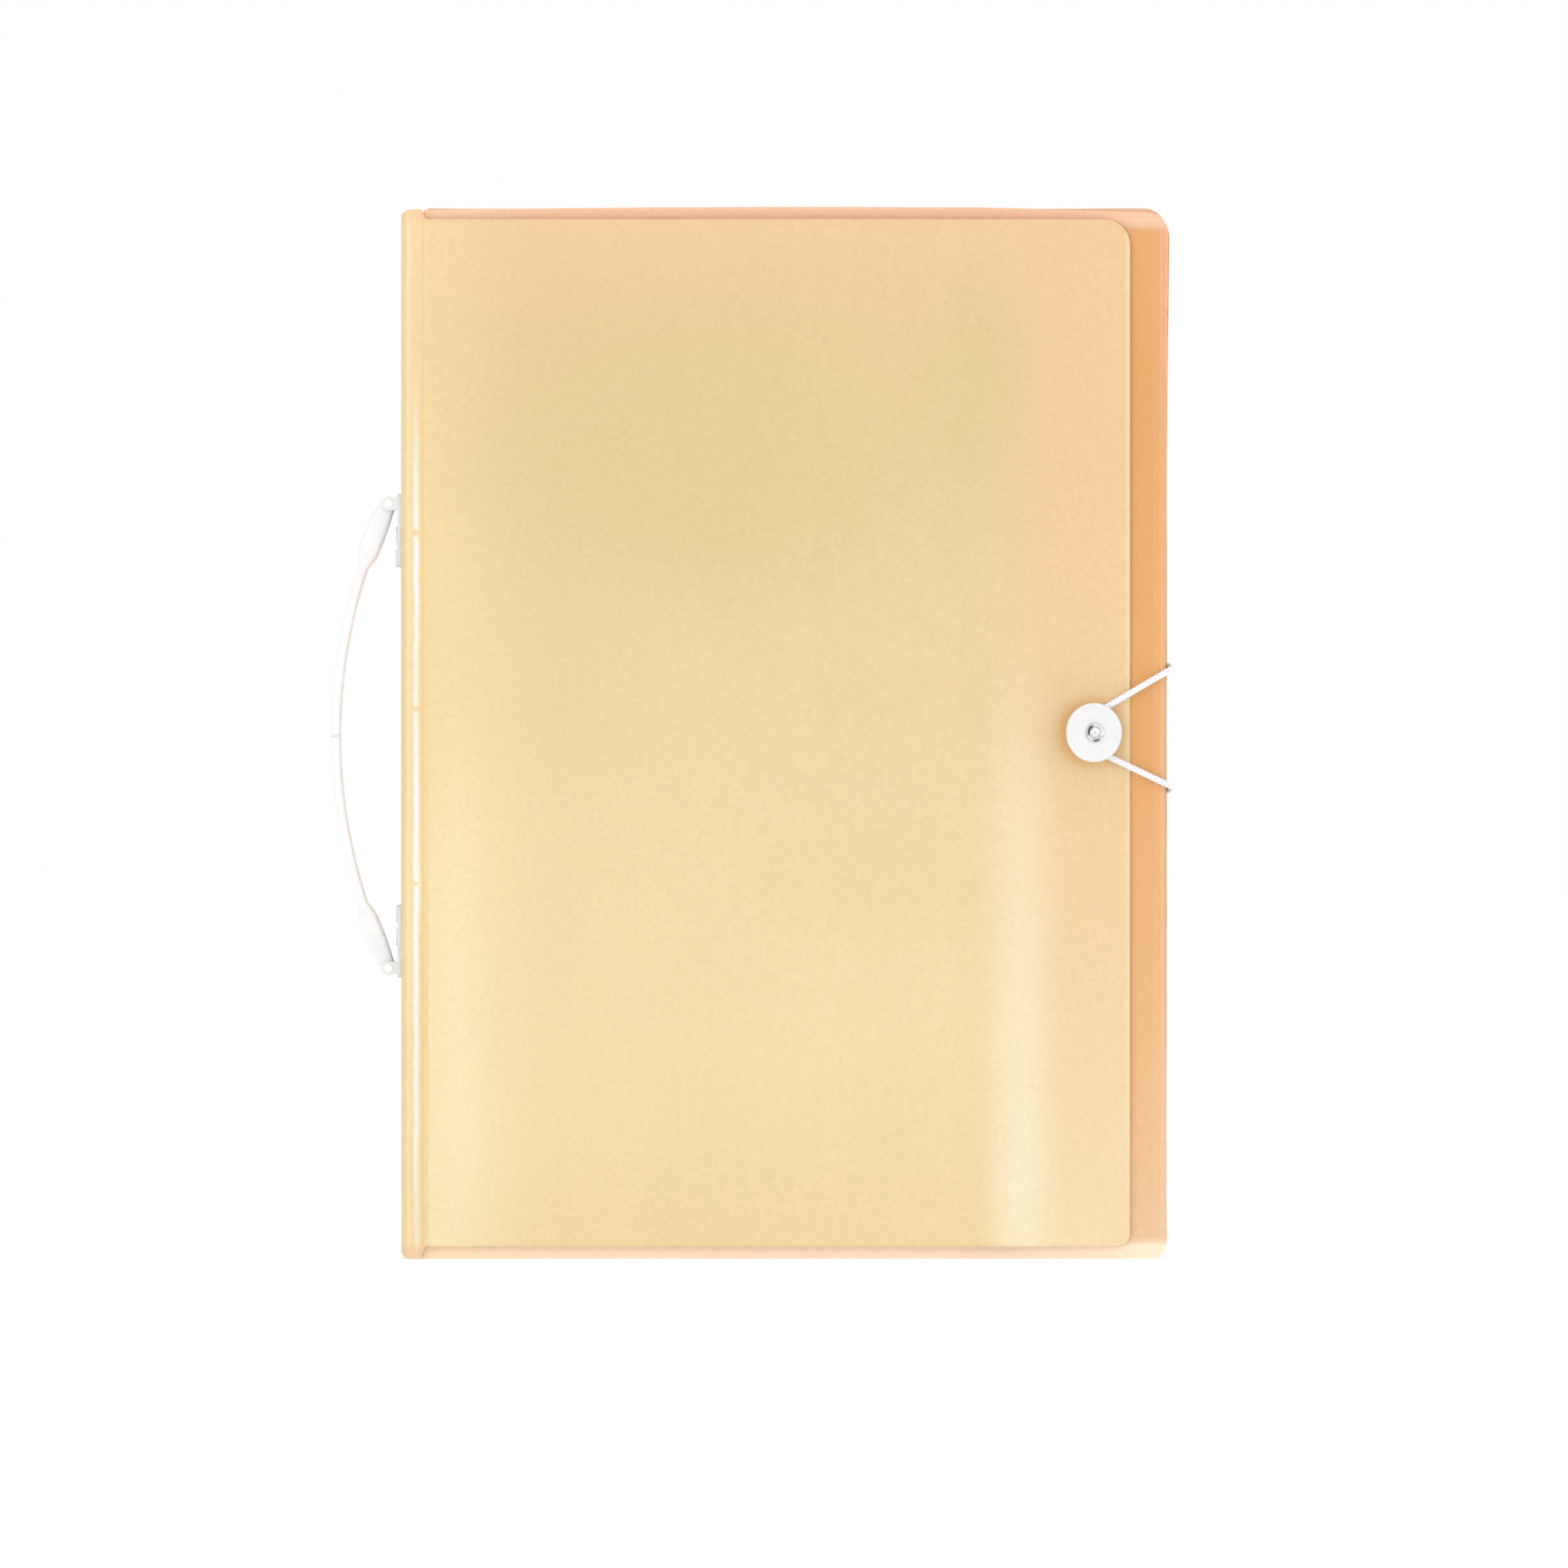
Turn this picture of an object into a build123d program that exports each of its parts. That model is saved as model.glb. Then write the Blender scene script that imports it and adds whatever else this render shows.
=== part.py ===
from build123d import *
import math
import os

os.makedirs("parts", exist_ok=True)

# ---------------------------------------------------------------- dimensions
# All in millimetres. X runs from the spine to the closing edge, Y from the
# front flap to the back panel, Z up along the spine. The model is drawn about
# its own construction axes and moved onto the base point at the end.

HEIGHT = 330.0          # cover height, for A4 sheets
COVER_T = 0.8           # polypropylene cover sheet
DIVIDER_T = 0.4         # pocket dividers
PLEAT_T = 0.3           # gusset film

BACK_Y = 14.0           # outer face of the back panel
CREASE_X = -115.3       # both live-hinge creases
CREASE_Y = 13.6         # half the distance between the creases
CREASE_GAP = 0.65       # from a crease axis to the edge of each leaf
SPINE_X = -120.4        # outer face of the spine
SHOULDER_R = 4.4        # outer radius of the spine's shoulders

BACK_RIGHT_TOP = 121.4  # the back panel's right edge is drawn in by the elastic
BACK_RIGHT_MID = 119.9
BACK_RIGHT_BOTTOM = 120.5
FRONT_RIGHT = 119.4

FLAP_RIGHT = 108.2
FLAP_Z0, FLAP_Z1 = 4.0, 326.0
FLAP_DOME, FLAP_TUCK = 2.22, 3.52   # outward bow and pull-back at its free edge

POCKETS = 12
PITCH = 1.96            # sheet to sheet
FIRST_GAP = 2.0         # back pocket, which also holds the elastic's clips
SHEET_LEFT = -112.0
SHEET_RIGHT = 115.9
SHEET_Z0, SHEET_Z1 = 4.2, 325.8
PLEAT_OUT = 3.9         # ridge beyond the sheet edges
PLEAT_FLANGE = 2.0      # weld flange on the sheet
PLEAT_CORNER = 3.2
TAB_OUT, TAB_TALL = 4.5, 21.0

BUTTON_X, BUTTON_Z = 94.8, 165.0    # where the rivet passes through the flap
BUTTON_TILT = 20.0      # the elastic pulls the button over, about Z
BUTTON_R = 9.3
BUTTON_STEM_R = 3.0
BUTTON_STEM_FOOT = 1.15
BUTTON_UNDER, BUTTON_TOP = 5.0, 6.6
RIVET_R, RIVET_HOLE_R, RIVET_HEAD_R = 1.55, 1.62, 3.1

CORD_R = 1.0            # round elastic
CORD_SIDE_X = 121.2
CORD_FRONT_Y = -12.35
CORD_BACK_Y = 15.58
CORD_LOOP_R = 4.3       # round the button's neck
CORD_NECK = 2.4         # height up the neck
CORD_FRONT_Z = (185.0, 148.1)
CORD_BACK_Z = (186.0, 147.1)
CORD_HOLE_Z = (193.5, 139.6)
CORD_HOLE_X = 105.0
EYELET_R, EYELET_BORE_R, EYELET_RIM_R = 2.2, 1.5, 3.4

HANDLE_Z = 164.0        # middle of the handle
PIN_X, PIN_DZ, PIN_R = -124.5, 72.9, 1.2
FLEX_X, FLEX_DZ = -133.0, 51.5      # where the strap meets its end block
STRAP_R = 168.0         # bow of the strap's centreline
STRAP_APEX = -141.0
STRAP_T, STRAP_W = 3.2, 13.0
BLOCK_T, BLOCK_W = 5.8, 9.4
SLOT_R, SLOT_TRAVEL = 1.5, 1.7
FLEX_GAP = 0.6
BASE_T, BASE_W = 1.3, 16.0
BASE_IN, BASE_OUT = 53.0, 76.0      # from the handle's middle
KNUCKLE_R, KNUCKLE_Y0, KNUCKLE_Y1 = 2.0, 5.2, 7.4
BACKING_T = 1.2
HRIVET_R, HRIVET_HEAD_R, HRIVET_HEAD_T = 1.5, 2.6, 0.45
HRIVET_DZ = (55.8, 63.2)

PIVOT_X, PIVOT_Y = 115.0, -11.0     # the fan turns here, at the closing edge

nodes = {}


# ------------------------------------------------------------------- helpers
def upright(face, y_front, y_back):
    """Thickens a face drawn in (X, Z) so that it fills y_front to y_back."""
    solid = extrude(face, amount=y_back - y_front)
    return Pos(0, y_back, 0) * (Rot(90, 0, 0) * solid)


def rounded(face, corner, radius):
    if radius <= 0:
        return face
    near = face.vertices().sort_by_distance(Vector(corner[0], corner[1], 0))[0]
    return fillet(near, radius)


def outline(x0, x_bottom, x_mid, x_top, z0, z_left, z_mid, z_right, radii):
    """A panel outline in (X, Z): straight left and bottom, bowed right and top.
    radii: bottom left, bottom right, top right, top left."""
    a, b, c, d = (x0, z0), (x_bottom, z0), (x_top, z_right), (x0, z_left)
    edges = [Line(a, b)]
    if abs(x_bottom - x_mid) + abs(x_top - x_mid) > 1e-6:
        edges.append(ThreePointArc(b, (x_mid, (z0 + z_right) / 2), c))
    else:
        edges.append(Line(b, c))
    if abs(z_left - z_mid) + abs(z_right - z_mid) > 1e-6:
        edges.append(ThreePointArc(c, ((x0 + x_top) / 2, z_mid), d))
    else:
        edges.append(Line(c, d))
    edges.append(Line(d, a))
    face = make_face(edges)
    for corner, radius in zip((a, b, c, d), radii):
        face = rounded(face, corner, radius)
    return face


def rectangle(x0, x1, z0, z1, radii):
    return outline(x0, x1, x1, x1, z0, z1, z1, z1, radii)


def box(x0, x1, y0, y1, z0, z1):
    return Pos((x0 + x1) / 2, (y0 + y1) / 2, (z0 + z1) / 2) * Box(
        x1 - x0, y1 - y0, z1 - z0
    )


def rod(start, direction, radius, length):
    """A cylinder from start along direction."""
    return extrude(
        Plane(origin=start, z_dir=direction) * Circle(radius), amount=length
    )


def put(name, shape):
    nodes[name] = shape if isinstance(shape, list) else [shape]


# --------------------------------------------------------------------- cover
back_face = outline(
    CREASE_X + CREASE_GAP,
    BACK_RIGHT_BOTTOM,
    BACK_RIGHT_MID,
    BACK_RIGHT_TOP,
    0,
    HEIGHT - 0.9,
    HEIGHT,
    HEIGHT - 1.3,
    (0, 5.4, 7.0, 0),
)
back_panel = upright(back_face, BACK_Y - COVER_T, BACK_Y)
for z in CORD_HOLE_Z:
    back_panel -= rod((CORD_HOLE_X, 12.0, z), (0, 1, 0), EYELET_R + 0.03, 4.0)
put("back_panel", back_panel)

# The spine: a flat face between two shoulders that end at the creases
flat_y = BACK_Y - SHOULDER_R
cx = SPINE_X + SHOULDER_R
outer = SHOULDER_R
inner = SHOULDER_R - COVER_T
s45 = math.sqrt(0.5)
spine_profile = make_face(
    [
        ThreePointArc(
            (cx, flat_y + outer),
            (cx - outer * s45, flat_y + outer * s45),
            (cx - outer, flat_y),
        ),
        Line((cx - outer, flat_y), (cx - outer, -flat_y)),
        ThreePointArc(
            (cx - outer, -flat_y),
            (cx - outer * s45, -flat_y - outer * s45),
            (cx, -flat_y - outer),
        ),
        Line((cx, -flat_y - outer), (cx, -flat_y - inner)),
        ThreePointArc(
            (cx, -flat_y - inner),
            (cx - inner * s45, -flat_y - inner * s45),
            (cx - inner, -flat_y),
        ),
        Line((cx - inner, -flat_y), (cx - inner, flat_y)),
        ThreePointArc(
            (cx - inner, flat_y),
            (cx - inner * s45, flat_y + inner * s45),
            (cx, flat_y + inner),
        ),
        Line((cx, flat_y + inner), (cx, flat_y + outer)),
    ]
)
spine_panel = extrude(spine_profile, amount=HEIGHT)
spine_trim = rectangle(SPINE_X - 1, CREASE_X + 5, 0, HEIGHT - 0.9, (3.4, 0, 0, 3.4))
spine_panel = spine_panel & upright(spine_trim, -20, 20)
for side in (1, -1):
    for dz in HRIVET_DZ:
        spine_panel -= rod(
            (SPINE_X - 1, 0, HANDLE_Z + side * dz), (1, 0, 0), HRIVET_R + 0.03, 3.0
        )
put("spine_panel", spine_panel)

# The flap bows outward between the crease and its free edge, which the
# elastic draws back towards the pockets
flap_left = CREASE_X + CREASE_GAP
flap_span = FLAP_RIGHT - flap_left


def flap_y(x):
    t = (x - flap_left) / flap_span
    return -CREASE_Y - FLAP_DOME * t + FLAP_TUCK * t**6


def flap_slope(x):
    t = (x - flap_left) / flap_span
    return (-FLAP_DOME + 6 * FLAP_TUCK * t**5) / flap_span


front_pts, rear_pts = [], []
for i in range(15):
    x = flap_left + flap_span * i / 14
    g = flap_slope(x)
    n = math.hypot(1, g)
    front_pts.append((x + g / n * COVER_T / 2, flap_y(x) - COVER_T / 2 / n))
    rear_pts.append((x - g / n * COVER_T / 2, flap_y(x) + COVER_T / 2 / n))
flap_profile = make_face(
    [
        Spline(*front_pts),
        Line(front_pts[-1], rear_pts[-1]),
        Spline(*rear_pts),
        Line(rear_pts[0], front_pts[0]),
    ]
)
front_flap = extrude(flap_profile, amount=HEIGHT)
flap_trim = rectangle(
    flap_left - 1, FLAP_RIGHT, FLAP_Z0, FLAP_Z1, (0, 3.8, 8.0, 0)
)
front_flap = front_flap & upright(flap_trim, -25, -5)

tilt = math.radians(BUTTON_TILT)
normal = Vector(math.sin(tilt), -math.cos(tilt), 0)
foot = Vector(BUTTON_X, flap_y(BUTTON_X) - COVER_T / 2, BUTTON_Z)
front_flap -= rod(foot - normal * 3, normal, RIVET_R + 0.03, 6)
put("front_flap", front_flap)

# ---------------------------------------------------------- pockets and pleats
sheets = [(BACK_Y - COVER_T, BACK_Y)]  # front and back face of each sheet
for k in range(1, POCKETS):
    back = BACK_Y - COVER_T - FIRST_GAP - (k - 1) * PITCH
    sheets.append((back - DIVIDER_T, back))
front_back_face = sheets[-1][0] - (PITCH - DIVIDER_T)
sheets.append((front_back_face - COVER_T, front_back_face))

for k in range(1, POCKETS):
    face = rectangle(
        SHEET_LEFT, SHEET_RIGHT, SHEET_Z0, SHEET_Z1, (2, PLEAT_CORNER, PLEAT_CORNER, 2)
    )
    # index tabs step down the open edge, one to a divider
    tab_z = SHEET_Z1 - 14 - (k - 0.5) * (SHEET_Z1 - SHEET_Z0 - 28) / (POCKETS - 1)
    tab = rectangle(
        SHEET_LEFT - TAB_OUT,
        SHEET_LEFT + 3,
        tab_z - TAB_TALL / 2,
        tab_z + TAB_TALL / 2,
        (3, 0, 0, 3),
    )
    put(f"divider_{k:02d}", upright(face + tab, *sheets[k]))

front_face = outline(
    SHEET_LEFT,
    FRONT_RIGHT,
    FRONT_RIGHT - 0.7,
    FRONT_RIGHT + 0.6,
    0,
    HEIGHT - 0.9,
    HEIGHT - 0.1,
    HEIGHT - 1.4,
    (2, 5.2, 6.8, 2),
)
put("front_pocket_panel", upright(front_face, *sheets[POCKETS]))

rail = FilletPolyline(
    (SHEET_LEFT, 0, SHEET_Z1),
    (SHEET_RIGHT, 0, SHEET_Z1),
    (SHEET_RIGHT, 0, SHEET_Z0),
    (SHEET_LEFT, 0, SHEET_Z0),
    radius=PLEAT_CORNER,
)


def pleat(y_own, y_other):
    """A V fold on the rail, with a flange against each of its two sheets.
    y_own: the face that it is welded to; y_other: the facing sheet."""
    far = y_other - 0.05
    mid = (y_own + far) / 2
    step = PLEAT_T
    half = (far - y_own) / 2
    crest = PLEAT_OUT - step * PLEAT_OUT / half
    pts = [
        (y_own, -PLEAT_FLANGE),
        (y_own, 0),
        (mid, PLEAT_OUT),
        (far, 0),
        (far, -PLEAT_FLANGE),
        (far - step, -PLEAT_FLANGE),
        (far - step, 0),
        (mid, crest),
        (y_own + step, 0),
        (y_own + step, -PLEAT_FLANGE),
    ]
    ring = [Vector(SHEET_LEFT, y, SHEET_Z1 + u) for y, u in pts]
    face = Face(Wire.make_polygon(ring, close=True))
    return sweep(face, path=rail.wire() if hasattr(rail, "wire") else rail)


for k in range(1, POCKETS + 1):
    put(f"gusset_pleat_{k:02d}", pleat(sheets[k][1], sheets[k - 1][0]))

# -------------------------------------------------------------------- closure
button_plane = Plane(origin=foot, x_dir=(0, 0, 1), z_dir=normal)


def turned(points_or_edges):
    """Revolves a profile drawn as (radius, height) about the button's axis."""
    face = make_face(points_or_edges)
    solid = revolve(Rot(90, 0, 0) * face, Axis.Z)
    return button_plane * solid


def ring_profile(pts):
    return [Line(p, q) for p, q in zip(pts, pts[1:] + pts[:1])]


disc_edge = 0.55
button_edges = [
    Line((RIVET_HOLE_R, BUTTON_STEM_FOOT), (BUTTON_STEM_R, BUTTON_STEM_FOOT)),
    Line((BUTTON_STEM_R, BUTTON_STEM_FOOT), (BUTTON_STEM_R, BUTTON_UNDER)),
    Line((BUTTON_STEM_R, BUTTON_UNDER), (BUTTON_R - disc_edge, BUTTON_UNDER)),
    ThreePointArc(
        (BUTTON_R - disc_edge, BUTTON_UNDER),
        (
            BUTTON_R - disc_edge * (1 - s45),
            BUTTON_UNDER + disc_edge * (1 - s45),
        ),
        (BUTTON_R, BUTTON_UNDER + disc_edge),
    ),
    Line((BUTTON_R, BUTTON_UNDER + disc_edge), (BUTTON_R, BUTTON_TOP - disc_edge)),
    ThreePointArc(
        (BUTTON_R, BUTTON_TOP - disc_edge),
        (BUTTON_R - disc_edge * (1 - s45), BUTTON_TOP - disc_edge * (1 - s45)),
        (BUTTON_R - disc_edge, BUTTON_TOP),
    ),
    Line((BUTTON_R - disc_edge, BUTTON_TOP), (RIVET_HOLE_R, BUTTON_TOP)),
    Line((RIVET_HOLE_R, BUTTON_TOP), (RIVET_HOLE_R, BUTTON_STEM_FOOT)),
]
put("closure_button", turned(button_edges))

head0 = BUTTON_TOP + 0.08
rivet_bore = 0.85
rivet_top = turned(
    [
        Line((rivet_bore, -1.4), (RIVET_R, -1.4)),
        Line((RIVET_R, -1.4), (RIVET_R, head0)),
        Line((RIVET_R, head0), (RIVET_HEAD_R - 0.1, head0)),
        ThreePointArc(
            (RIVET_HEAD_R - 0.1, head0),
            (RIVET_HEAD_R - 0.15, head0 + 0.5),
            (RIVET_HEAD_R - 0.75, head0 + 0.68),
        ),
        ThreePointArc(
            (RIVET_HEAD_R - 0.75, head0 + 0.68),
            (rivet_bore + 0.55, head0 + 0.4),
            (rivet_bore, head0 - 0.5),
        ),
        Line((rivet_bore, head0 - 0.5), (rivet_bore, -1.4)),
    ]
)
slope = flap_slope(BUTTON_X)
flap_normal = Vector(slope, -1, 0).normalized()
inner_face = Vector(BUTTON_X, flap_y(BUTTON_X), BUTTON_Z) - flap_normal * (COVER_T / 2)
through = foot - normal * 1.05  # the rivet's axis at the flap's inner face
inner_face = Vector(through.X, flap_y(through.X), BUTTON_Z) - flap_normal * (
    COVER_T / 2 + 0.03
)
washer = rod(inner_face, flap_normal * -1, 4.0, 0.35) - rod(
    foot - normal * 3, normal, RIVET_R + 0.12, 6
)
tail = rod(inner_face - flap_normal * 0.38, flap_normal * -1, 2.7, 0.45)
tail -= rod(foot - normal * 4, normal, rivet_bore, 8)
put("rivet_washer", washer)
put("button_rivet", rivet_top + tail)

# -------------------------------------------------------------------- elastic
neck = foot + normal * CORD_NECK
along = Vector(CORD_SIDE_X - neck.X, CORD_FRONT_Y - neck.Y, 0)
reach = along.length
along = along.normalized()


def neck_point(angle):
    a = math.radians(angle)
    return (
        neck
        + along * (CORD_LOOP_R * math.cos(a))
        + Vector(0, 0, CORD_LOOP_R * math.sin(a))
    )


def string_angle(z):
    """Angle of the string from the neck to the front edge at height z."""
    dz = abs(z - BUTTON_Z)
    return math.degrees(
        math.atan2(dz, reach) - math.asin(CORD_LOOP_R / math.hypot(dz, reach))
    )


up, down = string_angle(CORD_FRONT_Z[0]), string_angle(CORD_FRONT_Z[1])
first, last = neck_point(90 + up), neck_point(270 - down)
corner_up = Vector(CORD_SIDE_X, CORD_FRONT_Y, CORD_FRONT_Z[0])
corner_down = Vector(CORD_SIDE_X, CORD_FRONT_Y, CORD_FRONT_Z[1])
stop = 0.9  # the hook ends this far short of the front corner on each side


def short_of(corner, start):
    d = (start - corner).normalized()
    return corner + d * 2.6


loop_path = Wire(
    [
        Edge.make_line(short_of(corner_up, first), first),
        Edge.make_three_point_arc(
            first, neck_point(180 + (up - down) / 2), last
        ),
        Edge.make_line(last, short_of(corner_down, last)),
    ]
)
start = short_of(corner_up, first)
loop_section = Plane(origin=start, z_dir=first - start) * Circle(CORD_R)
put("elastic_loop", sweep(loop_section, path=loop_path))

anchors, clips, eyelets = [], [], []
for i in (0, 1):
    corner = (corner_up, corner_down)[i]
    tangent = (first, last)[i]
    begin = corner + (tangent - corner).normalized() * 2.5
    pts = [
        begin,
        corner,
        Vector(CORD_SIDE_X, CORD_BACK_Y, CORD_BACK_Z[i]),
        Vector(CORD_HOLE_X, CORD_BACK_Y, CORD_HOLE_Z[i]),
        Vector(CORD_HOLE_X, 12.47, CORD_HOLE_Z[i]),
    ]
    path = FilletPolyline(*pts, radius=[1.7, 1.9, 1.25])
    section = Plane(origin=begin, z_dir=corner - begin) * Circle(CORD_R)
    anchors.append(sweep(section, path=path))
    z = CORD_HOLE_Z[i]
    clip = box(CORD_HOLE_X - 2.2, CORD_HOLE_X + 2.2, 11.75, 12.45, z - 6.5, z + 6.5)
    clips.append(clip)
    tube = rod((CORD_HOLE_X, 12.75, z), (0, 1, 0), EYELET_R, 1.75)
    rim = rod((CORD_HOLE_X, BACK_Y, z), (0, 1, 0), EYELET_RIM_R, 0.5)
    inside = rod((CORD_HOLE_X, 12.75, z), (0, 1, 0), 2.9, 0.45)
    bore = rod((CORD_HOLE_X, 11.0, z), (0, 1, 0), EYELET_BORE_R, 5.0)
    eyelets.append((tube + rim + inside) - bore)
put("elastic_anchor", anchors)
put("elastic_clips", clips)
put("elastic_eyelets", eyelets)

# --------------------------------------------------------------------- handle
bow_x = STRAP_APEX + STRAP_R  # centre of the strap's bow


def strap_x(dz, r):
    return bow_x - math.sqrt(r * r - dz * dz)


r_out, r_in = STRAP_R + STRAP_T / 2, STRAP_R - STRAP_T / 2
flex_angle = math.asin((FLEX_DZ) / STRAP_R)
cut_angle = flex_angle - FLEX_GAP / STRAP_R


def strap_point(r, a):
    return (bow_x - r * math.cos(a), HANDLE_Z + r * math.sin(a))


grip_face = make_face(
    [
        ThreePointArc(
            strap_point(r_out, cut_angle),
            strap_point(r_out, 0),
            strap_point(r_out, -cut_angle),
        ),
        Line(strap_point(r_out, -cut_angle), strap_point(r_in, -cut_angle)),
        ThreePointArc(
            strap_point(r_in, -cut_angle),
            strap_point(r_in, 0),
            strap_point(r_in, cut_angle),
        ),
        Line(strap_point(r_in, cut_angle), strap_point(r_out, cut_angle)),
    ]
)
handle_grip = upright(grip_face, -STRAP_W / 2, STRAP_W / 2)
long_edges = [
    e for e in handle_grip.edges() if e.length > 60
]
handle_grip = fillet(long_edges, 1.1)
put("handle_grip", handle_grip)

flex_real_x = bow_x - STRAP_R * math.cos(flex_angle)
for side, word in ((1, "upper"), (-1, "lower")):
    pin = (PIN_X, HANDLE_Z + side * PIN_DZ)
    flex = (flex_real_x, HANDLE_Z + side * FLEX_DZ)
    dx, dz = flex[0] - pin[0], flex[1] - pin[1]
    length = math.hypot(dx, dz)
    ux, uz = dx / length, dz / length
    vx, vz = -uz, ux

    def at(s, t):
        return (pin[0] + ux * s + vx * t, pin[1] + uz * s + vz * t)

    h, w = BLOCK_T / 2, STRAP_T / 2
    eye = 2.3
    tip = length - FLEX_GAP
    side_face = make_face(
        [
            Line(at(0, eye), at(5.5, h)),
            Line(at(5.5, h), at(16.0, h)),
            Line(at(16.0, h), at(tip, w)),
            Line(at(tip, w), at(tip, -w)),
            Line(at(tip, -w), at(16.0, -h)),
            Line(at(16.0, -h), at(5.5, -h)),
            Line(at(5.5, -h), at(0, -eye)),
            ThreePointArc(at(0, -eye), at(-eye, 0), at(0, eye)),
        ]
    )
    block = upright(side_face, -BLOCK_W / 2, BLOCK_W / 2)
    shoulder = make_face(
        [
            Line(at(6.5, h), at(16.0, h)),
            Line(at(16.0, h), at(tip, w)),
            Line(at(tip, w), at(tip, -w)),
            Line(at(tip, -w), at(16.0, -h)),
            Line(at(16.0, -h), at(6.5, -h)),
            Line(at(6.5, -h), at(6.5, h)),
        ]
    )
    block += upright(shoulder, -STRAP_W / 2, STRAP_W / 2)
    slot = make_face(
        [
            Line(at(0, SLOT_R), at(SLOT_TRAVEL, SLOT_R)),
            ThreePointArc(
                at(SLOT_TRAVEL, SLOT_R),
                at(SLOT_TRAVEL + SLOT_R, 0),
                at(SLOT_TRAVEL, -SLOT_R),
            ),
            Line(at(SLOT_TRAVEL, -SLOT_R), at(0, -SLOT_R)),
            ThreePointArc(at(0, -SLOT_R), at(-SLOT_R, 0), at(0, SLOT_R)),
        ]
    )
    block -= upright(slot, -10, 10)
    put(f"handle_end_{word}", block)

    z_in, z_out = HANDLE_Z + side * BASE_IN, HANDLE_Z + side * BASE_OUT
    zs = sorted((z_in, z_out))
    plate = upright(
        rectangle(-BASE_W / 2, BASE_W / 2, zs[0], zs[1], (2, 2, 2, 2)), 0, BASE_T
    )
    plate = Pos(SPINE_X - BASE_T, 0, 0) * (Rot(0, 0, -90) * plate)
    base = plate
    for y in (1, -1):
        y0, y1 = sorted((y * KNUCKLE_Y0, y * KNUCKLE_Y1))
        knuckle = rod((PIN_X, y0, pin[1]), (0, 1, 0), KNUCKLE_R, y1 - y0)
        web = box(
            PIN_X, SPINE_X - BASE_T, y0, y1, pin[1] - KNUCKLE_R, pin[1] + KNUCKLE_R
        )
        base += knuckle + web
    base -= rod((PIN_X, -12, pin[1]), (0, 1, 0), PIN_R + 0.04, 24)
    backing = upright(
        rectangle(-BASE_W / 2 + 0.4, BASE_W / 2 - 0.4, zs[0], zs[1], (2, 2, 2, 2)),
        0,
        BACKING_T,
    )
    backing = Pos(SPINE_X + COVER_T, 0, 0) * (Rot(0, 0, -90) * backing)
    for dz in HRIVET_DZ:
        hole = rod(
            (SPINE_X - 4, 0, HANDLE_Z + side * dz), (1, 0, 0), HRIVET_R + 0.03, 8
        )
        base -= hole
        backing -= hole
    put(f"handle_base_{word}", base)
    put(f"spine_backing_{word}", backing)
    put(f"handle_pin_{word}", rod((PIN_X, -KNUCKLE_Y1 - 0.2, pin[1]), (0, 1, 0), PIN_R, 2 * KNUCKLE_Y1 + 0.4))

rivets = []
for side in (1, -1):
    for dz in HRIVET_DZ:
        z = HANDLE_Z + side * dz
        x0 = SPINE_X - BASE_T
        x1 = SPINE_X + COVER_T + BACKING_T
        shank = rod((x0 - 0.02, 0, z), (1, 0, 0), HRIVET_R, x1 - x0 + 0.04)
        head = rod((x0 - HRIVET_HEAD_T, 0, z), (1, 0, 0), HRIVET_HEAD_R, HRIVET_HEAD_T)
        close = rod((x1, 0, z), (1, 0, 0), HRIVET_HEAD_R - 0.2, 0.7)
        rivets.append(shank + head + close)
put("handle_rivets", rivets)

# ------------------------------------------------------------- onto its base
low = [1e9] * 3
high = [-1e9] * 3
for shape in (s for group in nodes.values() for s in group):
    bb = shape.bounding_box()
    for i, (a, b) in enumerate(zip(tuple(bb.min), tuple(bb.max))):
        low[i], high[i] = min(low[i], a), max(high[i], b)
SHIFT = (
    -round((low[0] + high[0]) / 2, 2),
    -round((low[1] + high[1]) / 2, 2),
    -round(low[2], 3),
)
print("low", [round(v, 3) for v in low], "high", [round(v, 3) for v in high])
print("shift", SHIFT)
print("foot", foot, "normal", normal, "neck", neck, "along", along)
print("string angles", up, down, "first", first, "last", last)
print("flex", flex_real_x, "inner", inner_face)
print(
    "elastic length",
    round(
        loop_path.length
        + sum(a.volume for a in anchors) / (math.pi * CORD_R**2),
        1,
    ),
)

for name, group in nodes.items():
    moved = [Pos(*SHIFT) * solid for shape in group for solid in shape.solids()]
    export_step(
        moved[0] if len(moved) == 1 else Compound(moved), f"parts/{name}.step"
    )
print(len(nodes), "nodes")
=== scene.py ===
"""Looks of the document folder: translucent orange covers, pleated body, white handle, button and elastic.
Everything is in metres, in the CAD model's own frame."""

import math

import bmesh
import bpy
import numpy as np
from mathutils import Matrix, Vector, noise


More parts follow.
